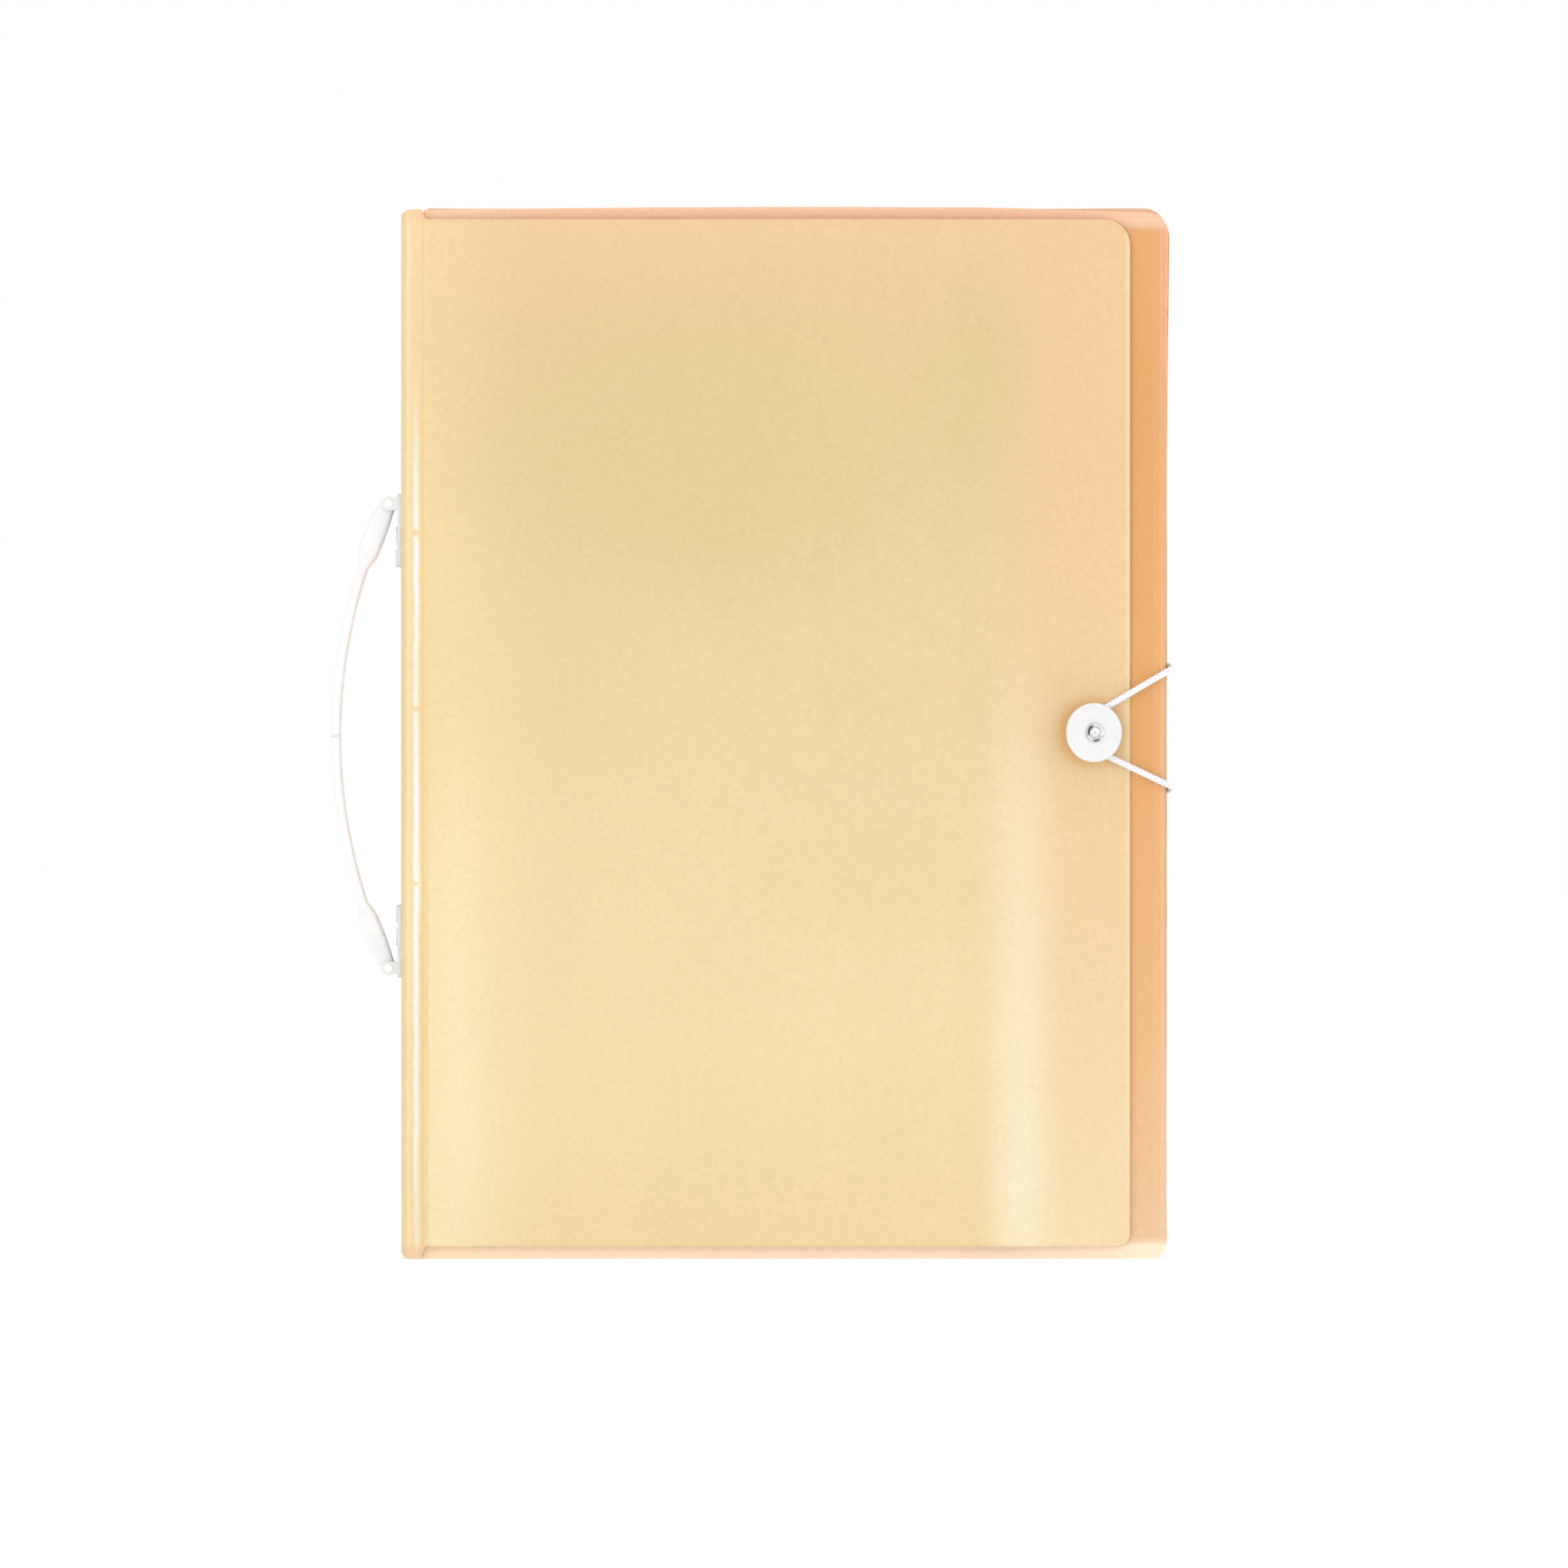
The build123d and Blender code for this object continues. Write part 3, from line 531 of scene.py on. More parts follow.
def thin_shell(name, mid, nrm, thick, mats, mat_of=None):
    """A closed thin sheet. mid: (columns, rows, 3) points in mm, nrm: unit normals, thick: scalar or array."""
    nc, nr, _ = mid.shape
    t = np.broadcast_to(np.asarray(thick, float), (nc, nr))[..., None] / 2
    a, b = mid + nrm * t, mid - nrm * t
    verts = np.concatenate([a.reshape(-1, 3), b.reshape(-1, 3)])
    verts = (verts + np.array([SX, SY, SZ])) * MM
    n = nc * nr
    faces, columns = [], []

    def at(i, j, s=0):
        return s * n + i * nr + j

    for i in range(nc - 1):
        for j in range(nr - 1):
            faces.append((at(i, j), at(i + 1, j), at(i + 1, j + 1), at(i, j + 1)))
            columns.append(i)
            faces.append((at(i, j + 1, 1), at(i + 1, j + 1, 1), at(i + 1, j, 1), at(i, j, 1)))
            columns.append(i)
    for i in range(nc - 1):
        faces.append((at(i, 0, 1), at(i + 1, 0, 1), at(i + 1, 0), at(i, 0)))
        columns.append(i)
        faces.append((at(i, nr - 1), at(i + 1, nr - 1), at(i + 1, nr - 1, 1), at(i, nr - 1, 1)))
        columns.append(i)
    for j in range(nr - 1):
        faces.append((at(0, j), at(0, j + 1), at(0, j + 1, 1), at(0, j, 1)))
        columns.append(0)
        faces.append((at(nc - 1, j, 1), at(nc - 1, j + 1, 1), at(nc - 1, j + 1), at(nc - 1, j)))
        columns.append(nc - 2)
    me = bpy.data.meshes.new(name)
    me.from_pydata(verts.tolist(), [], faces)
    me.update()
    for mt in mats:
        me.materials.append(mt)
    if mat_of is not None:
        for poly, c in zip(me.polygons, columns):
            poly.material_index = mat_of(c)
    me.shade_smooth()
    ob = bpy.data.objects.new(name, me)
    scene.collection.objects.link(ob)
    bm = bmesh.new()
    bm.from_mesh(me)
    bmesh.ops.recalc_face_normals(bm, faces=bm.faces)
    bm.to_mesh(me)
    bm.free()
    return ob


def corner_drop(x, edge, r):
    """How far a rounded corner of radius r lowers the sheet's edge at x, for an edge at x = edge."""
    d = np.clip(np.abs(x - edge), 0, None)
    inside = d < r
    return np.where(inside, r - np.sqrt(np.clip(r * r - (r - d) ** 2, 0, None)), 0.0)


def columns(a, b, n, fine_a=0.0, fine_b=0.0, r=8.0):
    """Column places from a to b, closer together near each end where a corner is rounded."""
    pts = set(np.round(np.linspace(a, b, n), 4))
    s = 1 if b > a else -1
    for k in range(9):
        d = r * (1 - math.cos(math.radians(90 * k / 9)))
        if fine_a:
            pts.add(round(a + s * d, 4))
        if fine_b:
            pts.add(round(b - s * d, 4))
    out = sorted(pts, reverse=s < 0)
    keep = [out[0]]
    for p in out[1:]:
        if abs(p - keep[-1]) > 0.03:
            keep.append(p)
    return np.array(keep)


def rows_of(n=111):
    """Row places from 0 to 1, evenly spaced."""
    u = np.linspace(0, 1, n)
    return u + 0.0 * u


ROWS = rows_of()


def curve_normals(path):
    """Unit normals in the XY plane of a path, to the left of its direction."""
    d = np.gradient(path, axis=0)
    d /= np.linalg.norm(d, axis=1)[:, None]
    return np.stack([-d[:, 1], d[:, 0]], 1)


def shoulder(front):
    """Centreline of half of the spine from its middle to the crease, in mm."""
    s = -1 if front else 1
    r = SHOULDER_R - COVER_T / 2
    cx = SPINE_X + SHOULDER_R
    fy = BACK_Y - SHOULDER_R
    pts = [(SPINE_X + COVER_T / 2, s * fy * k / 8) for k in range(8)]
    for k in range(11):
        a = math.radians(90 * k / 10)
        pts.append((cx - r * math.cos(a), s * (fy + r * math.sin(a))))
    return pts


def waist(z, top, mid, bottom):
    """x of a right edge that is drawn in at mid height."""
    z0, z1, z2 = 0.0, HEIGHT / 2, HEIGHT
    return (
        bottom * (z - z1) * (z - z2) / ((z0 - z1) * (z0 - z2))
        + mid * (z - z0) * (z - z2) / ((z1 - z0) * (z1 - z2))
        + top * (z - z0) * (z - z1) / ((z2 - z0) * (z2 - z1))
    )


# crease kinks, where the folded edge is nicked by the pocket welds behind it
KINKS = ((229.8, 1.6, 0.45), (225.2, 1.2, 0.3), (173.5, 1.4, 0.4), (117.5, 1.3, 0.35), (283.0, 1.5, 0.2))


# ================================================================ cover
def build_cover_rear():
    """Back panel, rear crease and the rear half of the spine, one sheet."""
    pts = shoulder(False)
    n_spine = len(pts)
    xs = columns(CREASE_X - 0.35, BACK_RIGHT := 120.9, 78, 0, 1, 7.0)
    pts += [(x, CREASE_Y) for x in xs]
    path = np.array(pts)
    nrm2 = curve_normals(path)
    z = np.empty((len(path), len(ROWS)))
    mid = np.zeros((len(path), len(ROWS), 3))
    for i, (x, y) in enumerate(path):
        lo, hi = 0.0, HEIGHT - 0.9 + 0.9 * math.sin(math.pi * np.clip((x + 120) / 240, 0, 1)) ** 0.8
        if x > 60:
            hi -= 0.9 * smoothstep(60, 121, x)
        drop_t = corner_drop(x, 120.9, 7.0) if x > 113 else 0.0
        drop_b = corner_drop(x, 120.9, 5.4) if x > 113 else 0.0
        if i < 8 or x < CREASE_X - 1.0:
            left = corner_drop(x, SPINE_X, 3.4)
            lo, hi = lo + left, hi - left
        lo, hi = lo + drop_b, hi - drop_t
        z[i] = lo + (hi - lo) * ROWS
        mid[i, :, 0], mid[i, :, 1], mid[i, :, 2] = x, y, z[i]
    wx = waist(mid[..., 2], 121.35, 119.9, 120.5) - 120.9
    mid[..., 0] += np.where(mid[..., 0] > 0, wx * smoothstep(60, 118, mid[..., 0]), 0)
    return path, nrm2, mid, n_spine


def to_shell(name, mid, nrm2, mats, mat_of, thick=COVER_T):
    n3 = np.zeros(mid.shape)
    n3[..., 0] = nrm2[:, None, 0]
    n3[..., 1] = nrm2[:, None, 1]
    return thin_shell(name, mid, n3, thick, mats, mat_of)


path, nrm2, mid, n_spine = build_cover_rear()
flat = (np.arange(len(path)) > n_spine + 2)[:, None]
# a gentle slackness, within the sheet's own thickness
mid[..., 1] += np.where(flat, 0.22 * field(mid[..., 0], mid[..., 2], 70.0, 3.1), 0)
cover_rear = to_shell(
    "cover_back_and_spine",
    mid,
    nrm2,
    [MAT["back"], MAT["spine"]],
    lambda c: 1 if c < n_spine + 1 else 0,
)
bevel(cover_rear, 0.18, 2, 50)
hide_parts("back_panel", "spine_panel")
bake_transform(cover_rear)


def flap_y(x):
    t = (x - FLAP_LEFT) / (FLAP_RIGHT - FLAP_LEFT)
    return -CREASE_Y - 2.22 * t + 3.52 * t**6


def build_cover_front():
    """Front half of the spine, front crease and the flap, one sheet."""
    pts = shoulder(True)
    n = len(pts)
    lead = [CREASE_X - 0.35, CREASE_X, CREASE_X + 0.35, CREASE_X + 0.8, CREASE_X + 1.4, CREASE_X + 1.9, CREASE_X + 2.3, CREASE_X + 2.8, CREASE_X + 3.6]
    xs = np.concatenate([lead, columns(CREASE_X + 5.0, FLAP_RIGHT, 84, 0, 1, 8.0)])
    pts += [(x, flap_y(max(x, FLAP_LEFT))) for x in xs]
    path = np.array(pts)
    nrm2 = curve_normals(path)
    mid = np.zeros((len(path), len(ROWS), 3))
    for i, (x, y) in enumerate(path):
        lo, hi = 0.0, HEIGHT - 0.9
        if i < n:
            left = corner_drop(x, SPINE_X, 3.4)
            lo, hi = lo + left, hi - left
        else:
            # the flap's own edges start a little inside the spine's
            step = smoothstep(CREASE_X + 1.3, CREASE_X + 2.7, x)
            lo = FLAP_Z0 * step
            hi = HEIGHT - 0.9 + (FLAP_Z1 - HEIGHT + 0.9) * step
            bow = 0.5 * math.sin(math.pi * np.clip((x + 115) / 223, 0, 1))
            hi += 0.0 * bow
        if x > 95:
            hi -= corner_drop(x, FLAP_RIGHT, 8.0)
            lo += corner_drop(x, FLAP_RIGHT, 3.8)
        mid[i, :, 0], mid[i, :, 1] = x, y
        mid[i, :, 2] = lo + (hi - lo) * ROWS
    return path, nrm2, mid, n


path, nrm2, mid, n_front = build_cover_front()
X, Z = mid[..., 0], mid[..., 2]
on_flap = smoothstep(CREASE_X + 4, CREASE_X + 30, X)
# slack film: soft vertical swells, a hollow beside the button where the elastic pulls, and a curl at the low right
swell = 0.30 * field(X * 1.4, Z * 0.45, 60.0, 7.7) + 0.12 * field(X, Z, 26.0, 1.3)
band = -0.55 * np.exp(-(((X - 66) / 10.0) ** 2)) * smoothstep(250, 40, Z)
band += -0.40 * np.exp(-(((X + 97) / 9.0) ** 2)) * smoothstep(220, 30, Z)
pull = 0.75 * np.exp(-(((X - 104) / 22.0) ** 2 + ((Z - 165) / 34.0) ** 2))
mid[..., 1] += on_flap * (swell + band + pull * 0.5)
# the crease line: a narrow raised fold with small nicks
ridge = np.exp(-(((X - (CREASE_X - 0.1)) / 0.55) ** 2)) * (np.arange(len(path)) >= n_front - 3)[:, None]
score = np.exp(-(((X - (CREASE_X + 2.1)) / 0.35) ** 2)) * (np.arange(len(path)) >= n_front)[:, None]
nick = np.zeros_like(Z)
for kz, kw, kd in KINKS:
    nick += kd * np.exp(-(((Z - kz) / kw) ** 2))
mid[..., 1] += -0.16 * ridge + 0.12 * score + nick * 0.5 * ridge
mid[..., 0] += nick * 0.8 * ridge
cover_front = to_shell(
    "cover_flap_and_spine",
    mid,
    nrm2,
    [MAT["flap"], MAT["spine"]],
    lambda c: 1 if c < n_front + 8 else 0,
)
bevel(cover_front, 0.18, 2, 50)
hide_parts("front_flap")
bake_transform(cover_front)


# ================================================================ pocket body
sheets = [(BACK_Y - COVER_T, BACK_Y)]
for k in range(1, POCKETS):
    b = BACK_Y - COVER_T - FIRST_GAP - (k - 1) * PITCH
    sheets.append((b - DIVIDER_T, b))
fb = sheets[-1][0] - (PITCH - DIVIDER_T)
sheets.append((fb - COVER_T, fb))


def build_front_pocket():
    """Front wall of the pockets, with the weld ridges of the gusset pressed in along three edges."""
    xs = np.concatenate([columns(WALL_LEFT, 108.0, 60, 1, 0, 0.6), np.linspace(108.4, 119.1, 30)])
    extra = columns(112.0, 119.4, 10, 0, 1, 6.8)
    xs = np.array(sorted(set(np.round(np.concatenate([xs, extra]), 3))))
    n = 201
    u = np.linspace(0, 1, n)
    rows = np.concatenate([np.linspace(0, 0.03, 26)[:-1], np.linspace(0.03, 0.97, 90), np.linspace(0.97, 1, 26)[1:]])
    mid = np.zeros((len(xs), len(rows), 3))
    for i, x in enumerate(xs):
        lo = 0.0
        hi = HEIGHT - 0.9 + 0.8 * math.sin(math.pi * np.clip((x + 104) / 223, 0, 1)) ** 0.8
        if x > 60:
            hi -= 1.0 * smoothstep(60, 120, x)
        hi -= corner_drop(x, 119.4, 6.8) if x > 112 else 0
        lo += corner_drop(x, 119.4, 5.2) if x > 112 else 0
        if x < WALL_LEFT + 0.3:
            hi -= corner_drop(x, WALL_LEFT, 0.3)
            lo += corner_drop(x, WALL_LEFT, 0.3)
        mid[i, :, 0] = x
        mid[i, :, 1] = sum(sheets[POCKETS]) / 2
        mid[i, :, 2] = lo + (hi - lo) * rows
    X, Z = mid[..., 0].copy(), mid[..., 2].copy()
    wx = waist(Z, 120.4, 119.3, 119.7) - 119.4
    mid[..., 0] += wx * smoothstep(60, 118, X)
    # distance in from the nearest welded edge
    d = np.minimum(np.minimum(119.4 - X, Z), HEIGHT - 0.6 - Z)
    ridges = np.zeros_like(d)
    for at, w in ((0.9, 0.22), (1.9, 0.22), (2.9, 0.22), (4.0, 0.3)):
        ridges += np.exp(-(((d - at) / w) ** 2))
    mid[..., 1] -= 0.15 * ridges
    mid[..., 1] += 0.12 * field(X, Z, 60.0, 12.0) * smoothstep(6, 30, d)
    n3 = np.zeros(mid.shape)
    n3[..., 1] = -1.0
    return mid, n3


mid, n3 = build_front_pocket()
pocket_front = thin_shell("pocket_front_wall", mid, n3, COVER_T, [MAT["front"]])
bevel(pocket_front, 0.15, 2, 50)
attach(pocket_front, f"pocket_{POCKETS:02d}")
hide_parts("front_pocket_panel")

for k in range(1, POCKETS):
    o = nodes[f"divider_{k:02d}"]
    o.data.materials.clear()
    o.data.materials.append(MAT["divider"])
    bevel(o, 0.08, 1, 50)


def pleat_path():
    """The rail that the gusset runs along: top, right and bottom, as (x, z, outward x, outward z)."""
    pts = []
    r = PLEAT_CORNER
    for x in np.linspace(SHEET_LEFT, SHEET_RIGHT - r, 60):
        pts.append((x, SHEET_Z1, 0, 1))
    for a in np.linspace(0, 90, 13)[1:-1]:
        c, s = math.cos(math.radians(90 - a)), math.sin(math.radians(90 - a))
        pts.append((SHEET_RIGHT - r + r * c, SHEET_Z1 - r + r * s, c, s))
    for z in np.linspace(SHEET_Z1 - r, SHEET_Z0 + r, 84):
        pts.append((SHEET_RIGHT, z, 1, 0))
    for a in np.linspace(0, 90, 13)[1:-1]:
        c, s = math.cos(math.radians(-a)), math.sin(math.radians(-a))
        pts.append((SHEET_RIGHT - r + r * c, SHEET_Z0 + r + r * s, c, s))
    for x in np.linspace(SHEET_RIGHT - r, SHEET_LEFT, 60):
        pts.append((x, SHEET_Z0, 0, -1))
    return np.array(pts)


RAIL = pleat_path()


def build_pleat(k):
    """One fold of the gusset, its crest rounded and a little uneven along its length."""
    own, other = sheets[k][1], sheets[k - 1][0] - 0.05
    half = (other - own) / 2
    t = PLEAT_T
    section = [(own + t / 2, -PLEAT_FLANGE), (own + t / 2, -1.0), (own + t / 2, -0.15), (own + t / 2 + 0.06, 0.25)]
    crest_u = PLEAT_OUT - t * 0.75
    for q in (0.25, 0.5, 0.75, 0.92):
        section.append((own + t / 2 + (half - t / 2) * q * 0.96, 0.25 + (crest_u - 0.25) * q))
    section.append((own + half, crest_u))
    far = [(own + other - y, u) for y, u in reversed(section[:-1])]
    section = np.array(section + far)
    d = np.gradient(section, axis=0)
    d /= np.linalg.norm(d, axis=1)[:, None]
    # left-hand normal in (y, u)
    nrm = np.stack([-d[:, 1], d[:, 0]], 1)
    nr, ns = len(RAIL), len(section)
    mid = np.zeros((nr, ns, 3))
    n3 = np.zeros((nr, ns, 3))
    run = np.concatenate([[0], np.cumsum(np.hypot(*np.diff(RAIL[:, :2], axis=0).T))])
    for i, (x, z, ox, oz) in enumerate(RAIL):
        wob = 0.22 * noise.noise(Vector((run[i] / 22.0, k * 3.7, 0.5)))
        wob_y = 0.16 * noise.noise(Vector((run[i] / 30.0, k * 1.9, 9.5)))
        # right-hand ridges step out slightly towards the back, so the fold lines show past the front wall
        lift = (0.07 * (POCKETS - k) if ox > 0.5 else 0.0)
        for j, (y, u) in enumerate(section):
            share = max(u, 0) / PLEAT_OUT
            uu = min(u + (wob - 0.22) * share + lift * share * ox, PLEAT_OUT - t / 2 + (1.2 if ox > 0.5 else 0.0))
            mid[i, j] = (x + ox * uu, y + wob_y * share, z + oz * uu)
            n3[i, j] = (ox * nrm[j, 1], nrm[j, 0], oz * nrm[j, 1])
    return mid, n3


for k in range(1, POCKETS + 1):
    mid, n3 = build_pleat(k)
    ob = thin_shell(f"gusset_fold_{k:02d}", mid, n3, PLEAT_T, [MAT["pleat"]])
    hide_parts(f"gusset_pleat_{k:02d}")
    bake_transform(ob)


# ================================================================ handle
HANDLE_Z = 164.0
PIN_X, PIN_DZ = -124.5, 72.9
FLEX_X, FLEX_DZ = -132.9117, 51.5
STRAP_R, STRAP_APEX = 168.0, -141.0


def handle_line(side):
    """Centreline of half of the handle, from its middle to past the pin: (x, z, half thickness, half width)."""
    bow = STRAP_APEX + STRAP_R
    out = []
    a1 = math.asin(FLEX_DZ / STRAP_R)
    for k in range(34):
        a = a1 * k / 33
        dz = STRAP_R * math.sin(a)
        out.append((bow - STRAP_R * math.cos(a), HANDLE_Z + side * dz, 1.6, 6.5))
    px, pz = PIN_X, HANDLE_Z + side * PIN_DZ
    fx, fz = out[-1][0], out[-1][1]
    length = math.hypot(px - fx, pz - fz)
    ux, uz = (px - fx) / length, (pz - fz) / length
    # from the flex point up the block to the eye: (distance, half thickness, half width)
    for s, h, w in (
        (0.9, 1.62, 6.5), (1.8, 1.75, 6.48), (3.0, 2.1, 6.4), (4.4, 2.5, 6.25), (5.6, 2.78, 6.1), (6.4, 2.88, 6.0),
        (7.0, 2.9, 5.95), (9.0, 2.9, 5.8), (11.5, 2.9, 5.6), (14.0, 2.88, 5.4), (16.0, 2.8, 5.15), (17.2, 2.7, 4.85),
        (18.2, 2.62, 4.7), (19.5, 2.5, 4.7), (21.0, 2.38, 4.7), (22.4, 2.3, 4.7), (23.4, 2.24, 4.68), (24.2, 2.0, 4.6),
        (24.8, 1.6, 4.4), (25.2, 1.05, 4.1), (25.35, 0.5, 3.8),
    ):
        out.append((fx + ux * s, fz + uz * s, h, w))
    return out


def build_handle(side, word):
    line = np.array(handle_line(side))
    pts = line[:, :2]
    d = np.gradient(pts, axis=0)
    d /= np.linalg.norm(d, axis=1)[:, None]
    n = np.stack([d[:, 1], -d[:, 0]], 1) * side
    # the block stands a little fuller on its outer side
    full = smoothstep(1.6, 2.9, line[:, 2]) * (np.arange(len(line)) >= 34) * 0.5
    for i in range(len(line)):
        line[i, 2] += full[i]
        line[i, 0] -= n[i, 0] * full[i]
        line[i, 1] -= n[i, 1] * full[i]
    ring = 36
    verts, faces = [], []
    for i, (x, z, h, w) in enumerate(line):
        for j in range(ring):
            a = 2 * math.pi * j / ring
            # a rounded rectangle by a superellipse
            c, s = math.cos(a), math.sin(a)
            e = 0.42
            p = math.copysign(abs(c) ** e, c) * w
            q = math.copysign(abs(s) ** e, s) * h
            verts.append(P(x + n[i, 0] * q, p, z + n[i, 1] * q))
    m = len(line)
    for i in range(m - 1):
        for j in range(ring):
            k = (j + 1) % ring
            faces.append((i * ring + j, i * ring + k, (i + 1) * ring + k, (i + 1) * ring + j))
    faces.append(tuple(reversed(range(ring))))
    faces.append(tuple((m - 1) * ring + j for j in range(ring)))
    ob = mesh_object(f"handle_{word}_half", verts, faces, MAT["handle"])
    bm = bmesh.new()
    bm.from_mesh(ob.data)
    bmesh.ops.recalc_face_normals(bm, faces=bm.faces)
    bm.to_mesh(ob.data)
    bm.free()
    ob.data.shade_smooth()
    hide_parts(f"handle_end_{word}", "handle_grip")
    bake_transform(ob)
    return ob


for side, word in ((1, "upper"), (-1, "lower")):
    build_handle(side, word)
    for part, width, mat in (("handle_base", 0.35, "white"), ("handle_pin", 0.25, "pin"), ("spine_backing", 0.25, "white")):
        o = nodes[f"{part}_{word}"]
        o.data.materials.clear()
        o.data.materials.append(MAT[mat])
        bevel(o, width, 3, 40)
for name, mat in (("handle_rivets", "white"), ("elastic_clips", "steel"), ("elastic_eyelets", "white"), ("rivet_washer", "steel")):
    o = nodes[name]
    o.data.materials.clear()
    o.data.materials.append(MAT[mat])
    bevel(o, 0.12, 2, 40)


# ================================================================ button
tilt = math.radians(BUTTON_TILT)
normal = Vector((math.sin(tilt), -math.cos(tilt), 0))
foot = P(*BUTTON_FOOT)
turn = Matrix((Vector((0, 0, 1)).cross(normal).normalized() * 1.0, Vector((0, 0, 1)), normal)).transposed()
button_space = Matrix.Translation(foot) @ turn.to_4x4()


def revolve(name, profile, mat, segments=96, closed=True):
    """profile: (radius, height) in mm, turned about the button's axis."""
    verts, faces = [], []
    n = len(profile)
    for i in range(segments):
        a = 2 * math.pi * i / segments
        for r, h in profile:
            verts.append(button_space @ Vector((r * math.cos(a) * MM, r * math.sin(a) * MM, h * MM)))
    for i in range(segments):
        k = (i + 1) % segments
        for j in range(n if closed else n - 1):
            q = (j + 1) % n
            faces.append((i * n + j, k * n + j, k * n + q, i * n + q))
    ob = mesh_object(name, verts, faces, mat)
    bm = bmesh.new()
    bm.from_mesh(ob.data)
    bmesh.ops.recalc_face_normals(bm, faces=bm.faces)
    bm.to_mesh(ob.data)
    bm.free()
    ob.data.shade_smooth()
    return ob


def arc(cx, cy, r, a0, a1, n):
    return [
        (cx + r * math.cos(math.radians(a0 + (a1 - a0) * k / n)), cy + r * math.sin(math.radians(a0 + (a1 - a0) * k / n)))
        for k in range(n + 1)
    ]


button_profile = (
    [(1.63, 1.16), (2.7, 1.16)]
    + arc(2.75, 1.41, 0.25, -90, 0, 4)
    + [(2.96, 2.2), (2.94, 3.2), (2.98, 4.3)]
    + arc(3.6, 4.4, 0.6, 180, 90, 5)
    + [(5.0, 5.02), (7.0, 5.04), (8.3, 5.06)]
    + arc(8.75, 5.61, 0.55, -90, 0, 6)
    + arc(8.7, 5.98, 0.6, 0, 90, 7)
    + [(8.3, 6.58), (8.0, 6.53), (7.75, 6.44), (7.4, 6.40), (6.2, 6.38), (5.0, 6.39), (4.2, 6.42), (3.7, 6.47), (3.3, 6.5), (2.4, 6.5), (1.63, 6.5)]
)
button = revolve("button_disc", button_profile, MAT["white"])
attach(button, "button")
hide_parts("closure_button")

rivet_profile = (
    [(0.85, -1.35), (1.52, -1.35), (1.54, 1.0), (1.54, 6.3), (1.60, 6.56), (2.2, 6.58), (2.78, 6.60)]
    + arc(2.62, 6.95, 0.42, -50, 100, 12)
    + [(2.36, 7.33), (2.18, 7.22), (2.02, 7.02), (1.92, 6.80), (1.84, 6.62), (1.2, 6.4), (0.9, 6.2), (0.85, 5.8)]
)
rivet = revolve("button_rivet_rolled", rivet_profile, MAT["rivet"], 96)
# a flat cap closes the rivet's bore inside the rolled rim
plug = revolve("button_rivet_core", [(0.001, 6.78), (0.5, 6.775), (1.0, 6.76), (1.45, 6.72), (1.70, 6.66), (1.76, 6.5), (0.9, 6.35), (0.001, 6.3)], MAT["rivet"], 64)
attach(rivet, "flap")
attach(plug, "flap")
tail = nodes["button_rivet"]
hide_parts("button_rivet")


def inner_flange():
    """The rivet's rolled tail on the inside of the flap."""
    g = (-2.22 + 6 * 3.52 * ((94.4 - FLAP_LEFT) / (FLAP_RIGHT - FLAP_LEFT)) ** 5) / (FLAP_RIGHT - FLAP_LEFT)
    out = Vector((-g, 1, 0)).normalized()
    side = out.cross(Vector((0, 0, 1))).normalized()
    base = P(94.4153, -12.8522, 165.0)
    prof = [(0.9, 0.40), (2.4, 0.40)] + arc(2.4, 0.62, 0.22, -90, 90, 6) + [(1.9, 0.80), (1.4, 0.74), (1.0, 0.6), (0.9, 0.5)]
    verts, faces, n, seg = [], [], len(prof), 48
    for i in range(seg):
        a = 2 * math.pi * i / seg
        for r, h in prof:
            verts.append(base + (side * math.cos(a) + Vector((0, 0, 1)) * math.sin(a)) * r * MM + out * h * MM)
    for i in range(seg):
        k = (i + 1) % seg
        for j in range(n):
            q = (j + 1) % n
            faces.append((i * n + j, k * n + j, k * n + q, i * n + q))
    ob = mesh_object("button_rivet_tail", verts, faces, MAT["steel"])
    bm = bmesh.new()
    bm.from_mesh(ob.data)
    bmesh.ops.recalc_face_normals(bm, faces=bm.faces)
    bm.to_mesh(ob.data)
    bm.free()
    ob.data.shade_smooth()
    return ob


tail_piece = inner_flange()
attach(tail_piece, "flap")

# ================================================================ elastic
CORD_R = 1.0
CORD_SIDE_X, CORD_FRONT_Y, CORD_BACK_Y = 121.2, -12.35, 15.58
CORD_FRONT_Z, CORD_BACK_Z, CORD_HOLE_Z = (185.0, 148.1), (186.0, 147.1), (193.5, 139.6)
CORD_HOLE_X, CORD_LOOP_R = 105.0, 4.3


def rounded_path(pts, radii, step=0.5):
    """Straight runs joined by tangent arcs, sampled for a taut elastic that goes round hard edges."""
    out = [np.array(pts[0], float)]
    for i in range(1, len(pts) - 1):
        a, b, c = (np.array(pts[j], float) for j in (i - 1, i, i + 1))
        u, v = (a - b) / np.linalg.norm(a - b), (c - b) / np.linalg.norm(c - b)
        ang = math.acos(np.clip(u @ v, -1, 1))
        t = radii[i - 1] / math.tan(ang / 2)
        w = (u + v) / np.linalg.norm(u + v)
        centre = b + w * radii[i - 1] / math.sin(ang / 2)
        p, q = b + u * t, b + v * t
        n = max(4, int(radii[i - 1] * (math.pi - ang) / step) + 2)
        for k in range(n + 1):
            f = k / n
            e1 = (p - centre) / radii[i - 1]
            e2 = (q - centre) / radii[i - 1]
            th = math.acos(np.clip(e1 @ e2, -1, 1))
            out.append(centre + (e1 * math.sin((1 - f) * th) + e2 * math.sin(f * th)) / math.sin(th) * radii[i - 1])
    out.append(np.array(pts[-1], float))
    return out


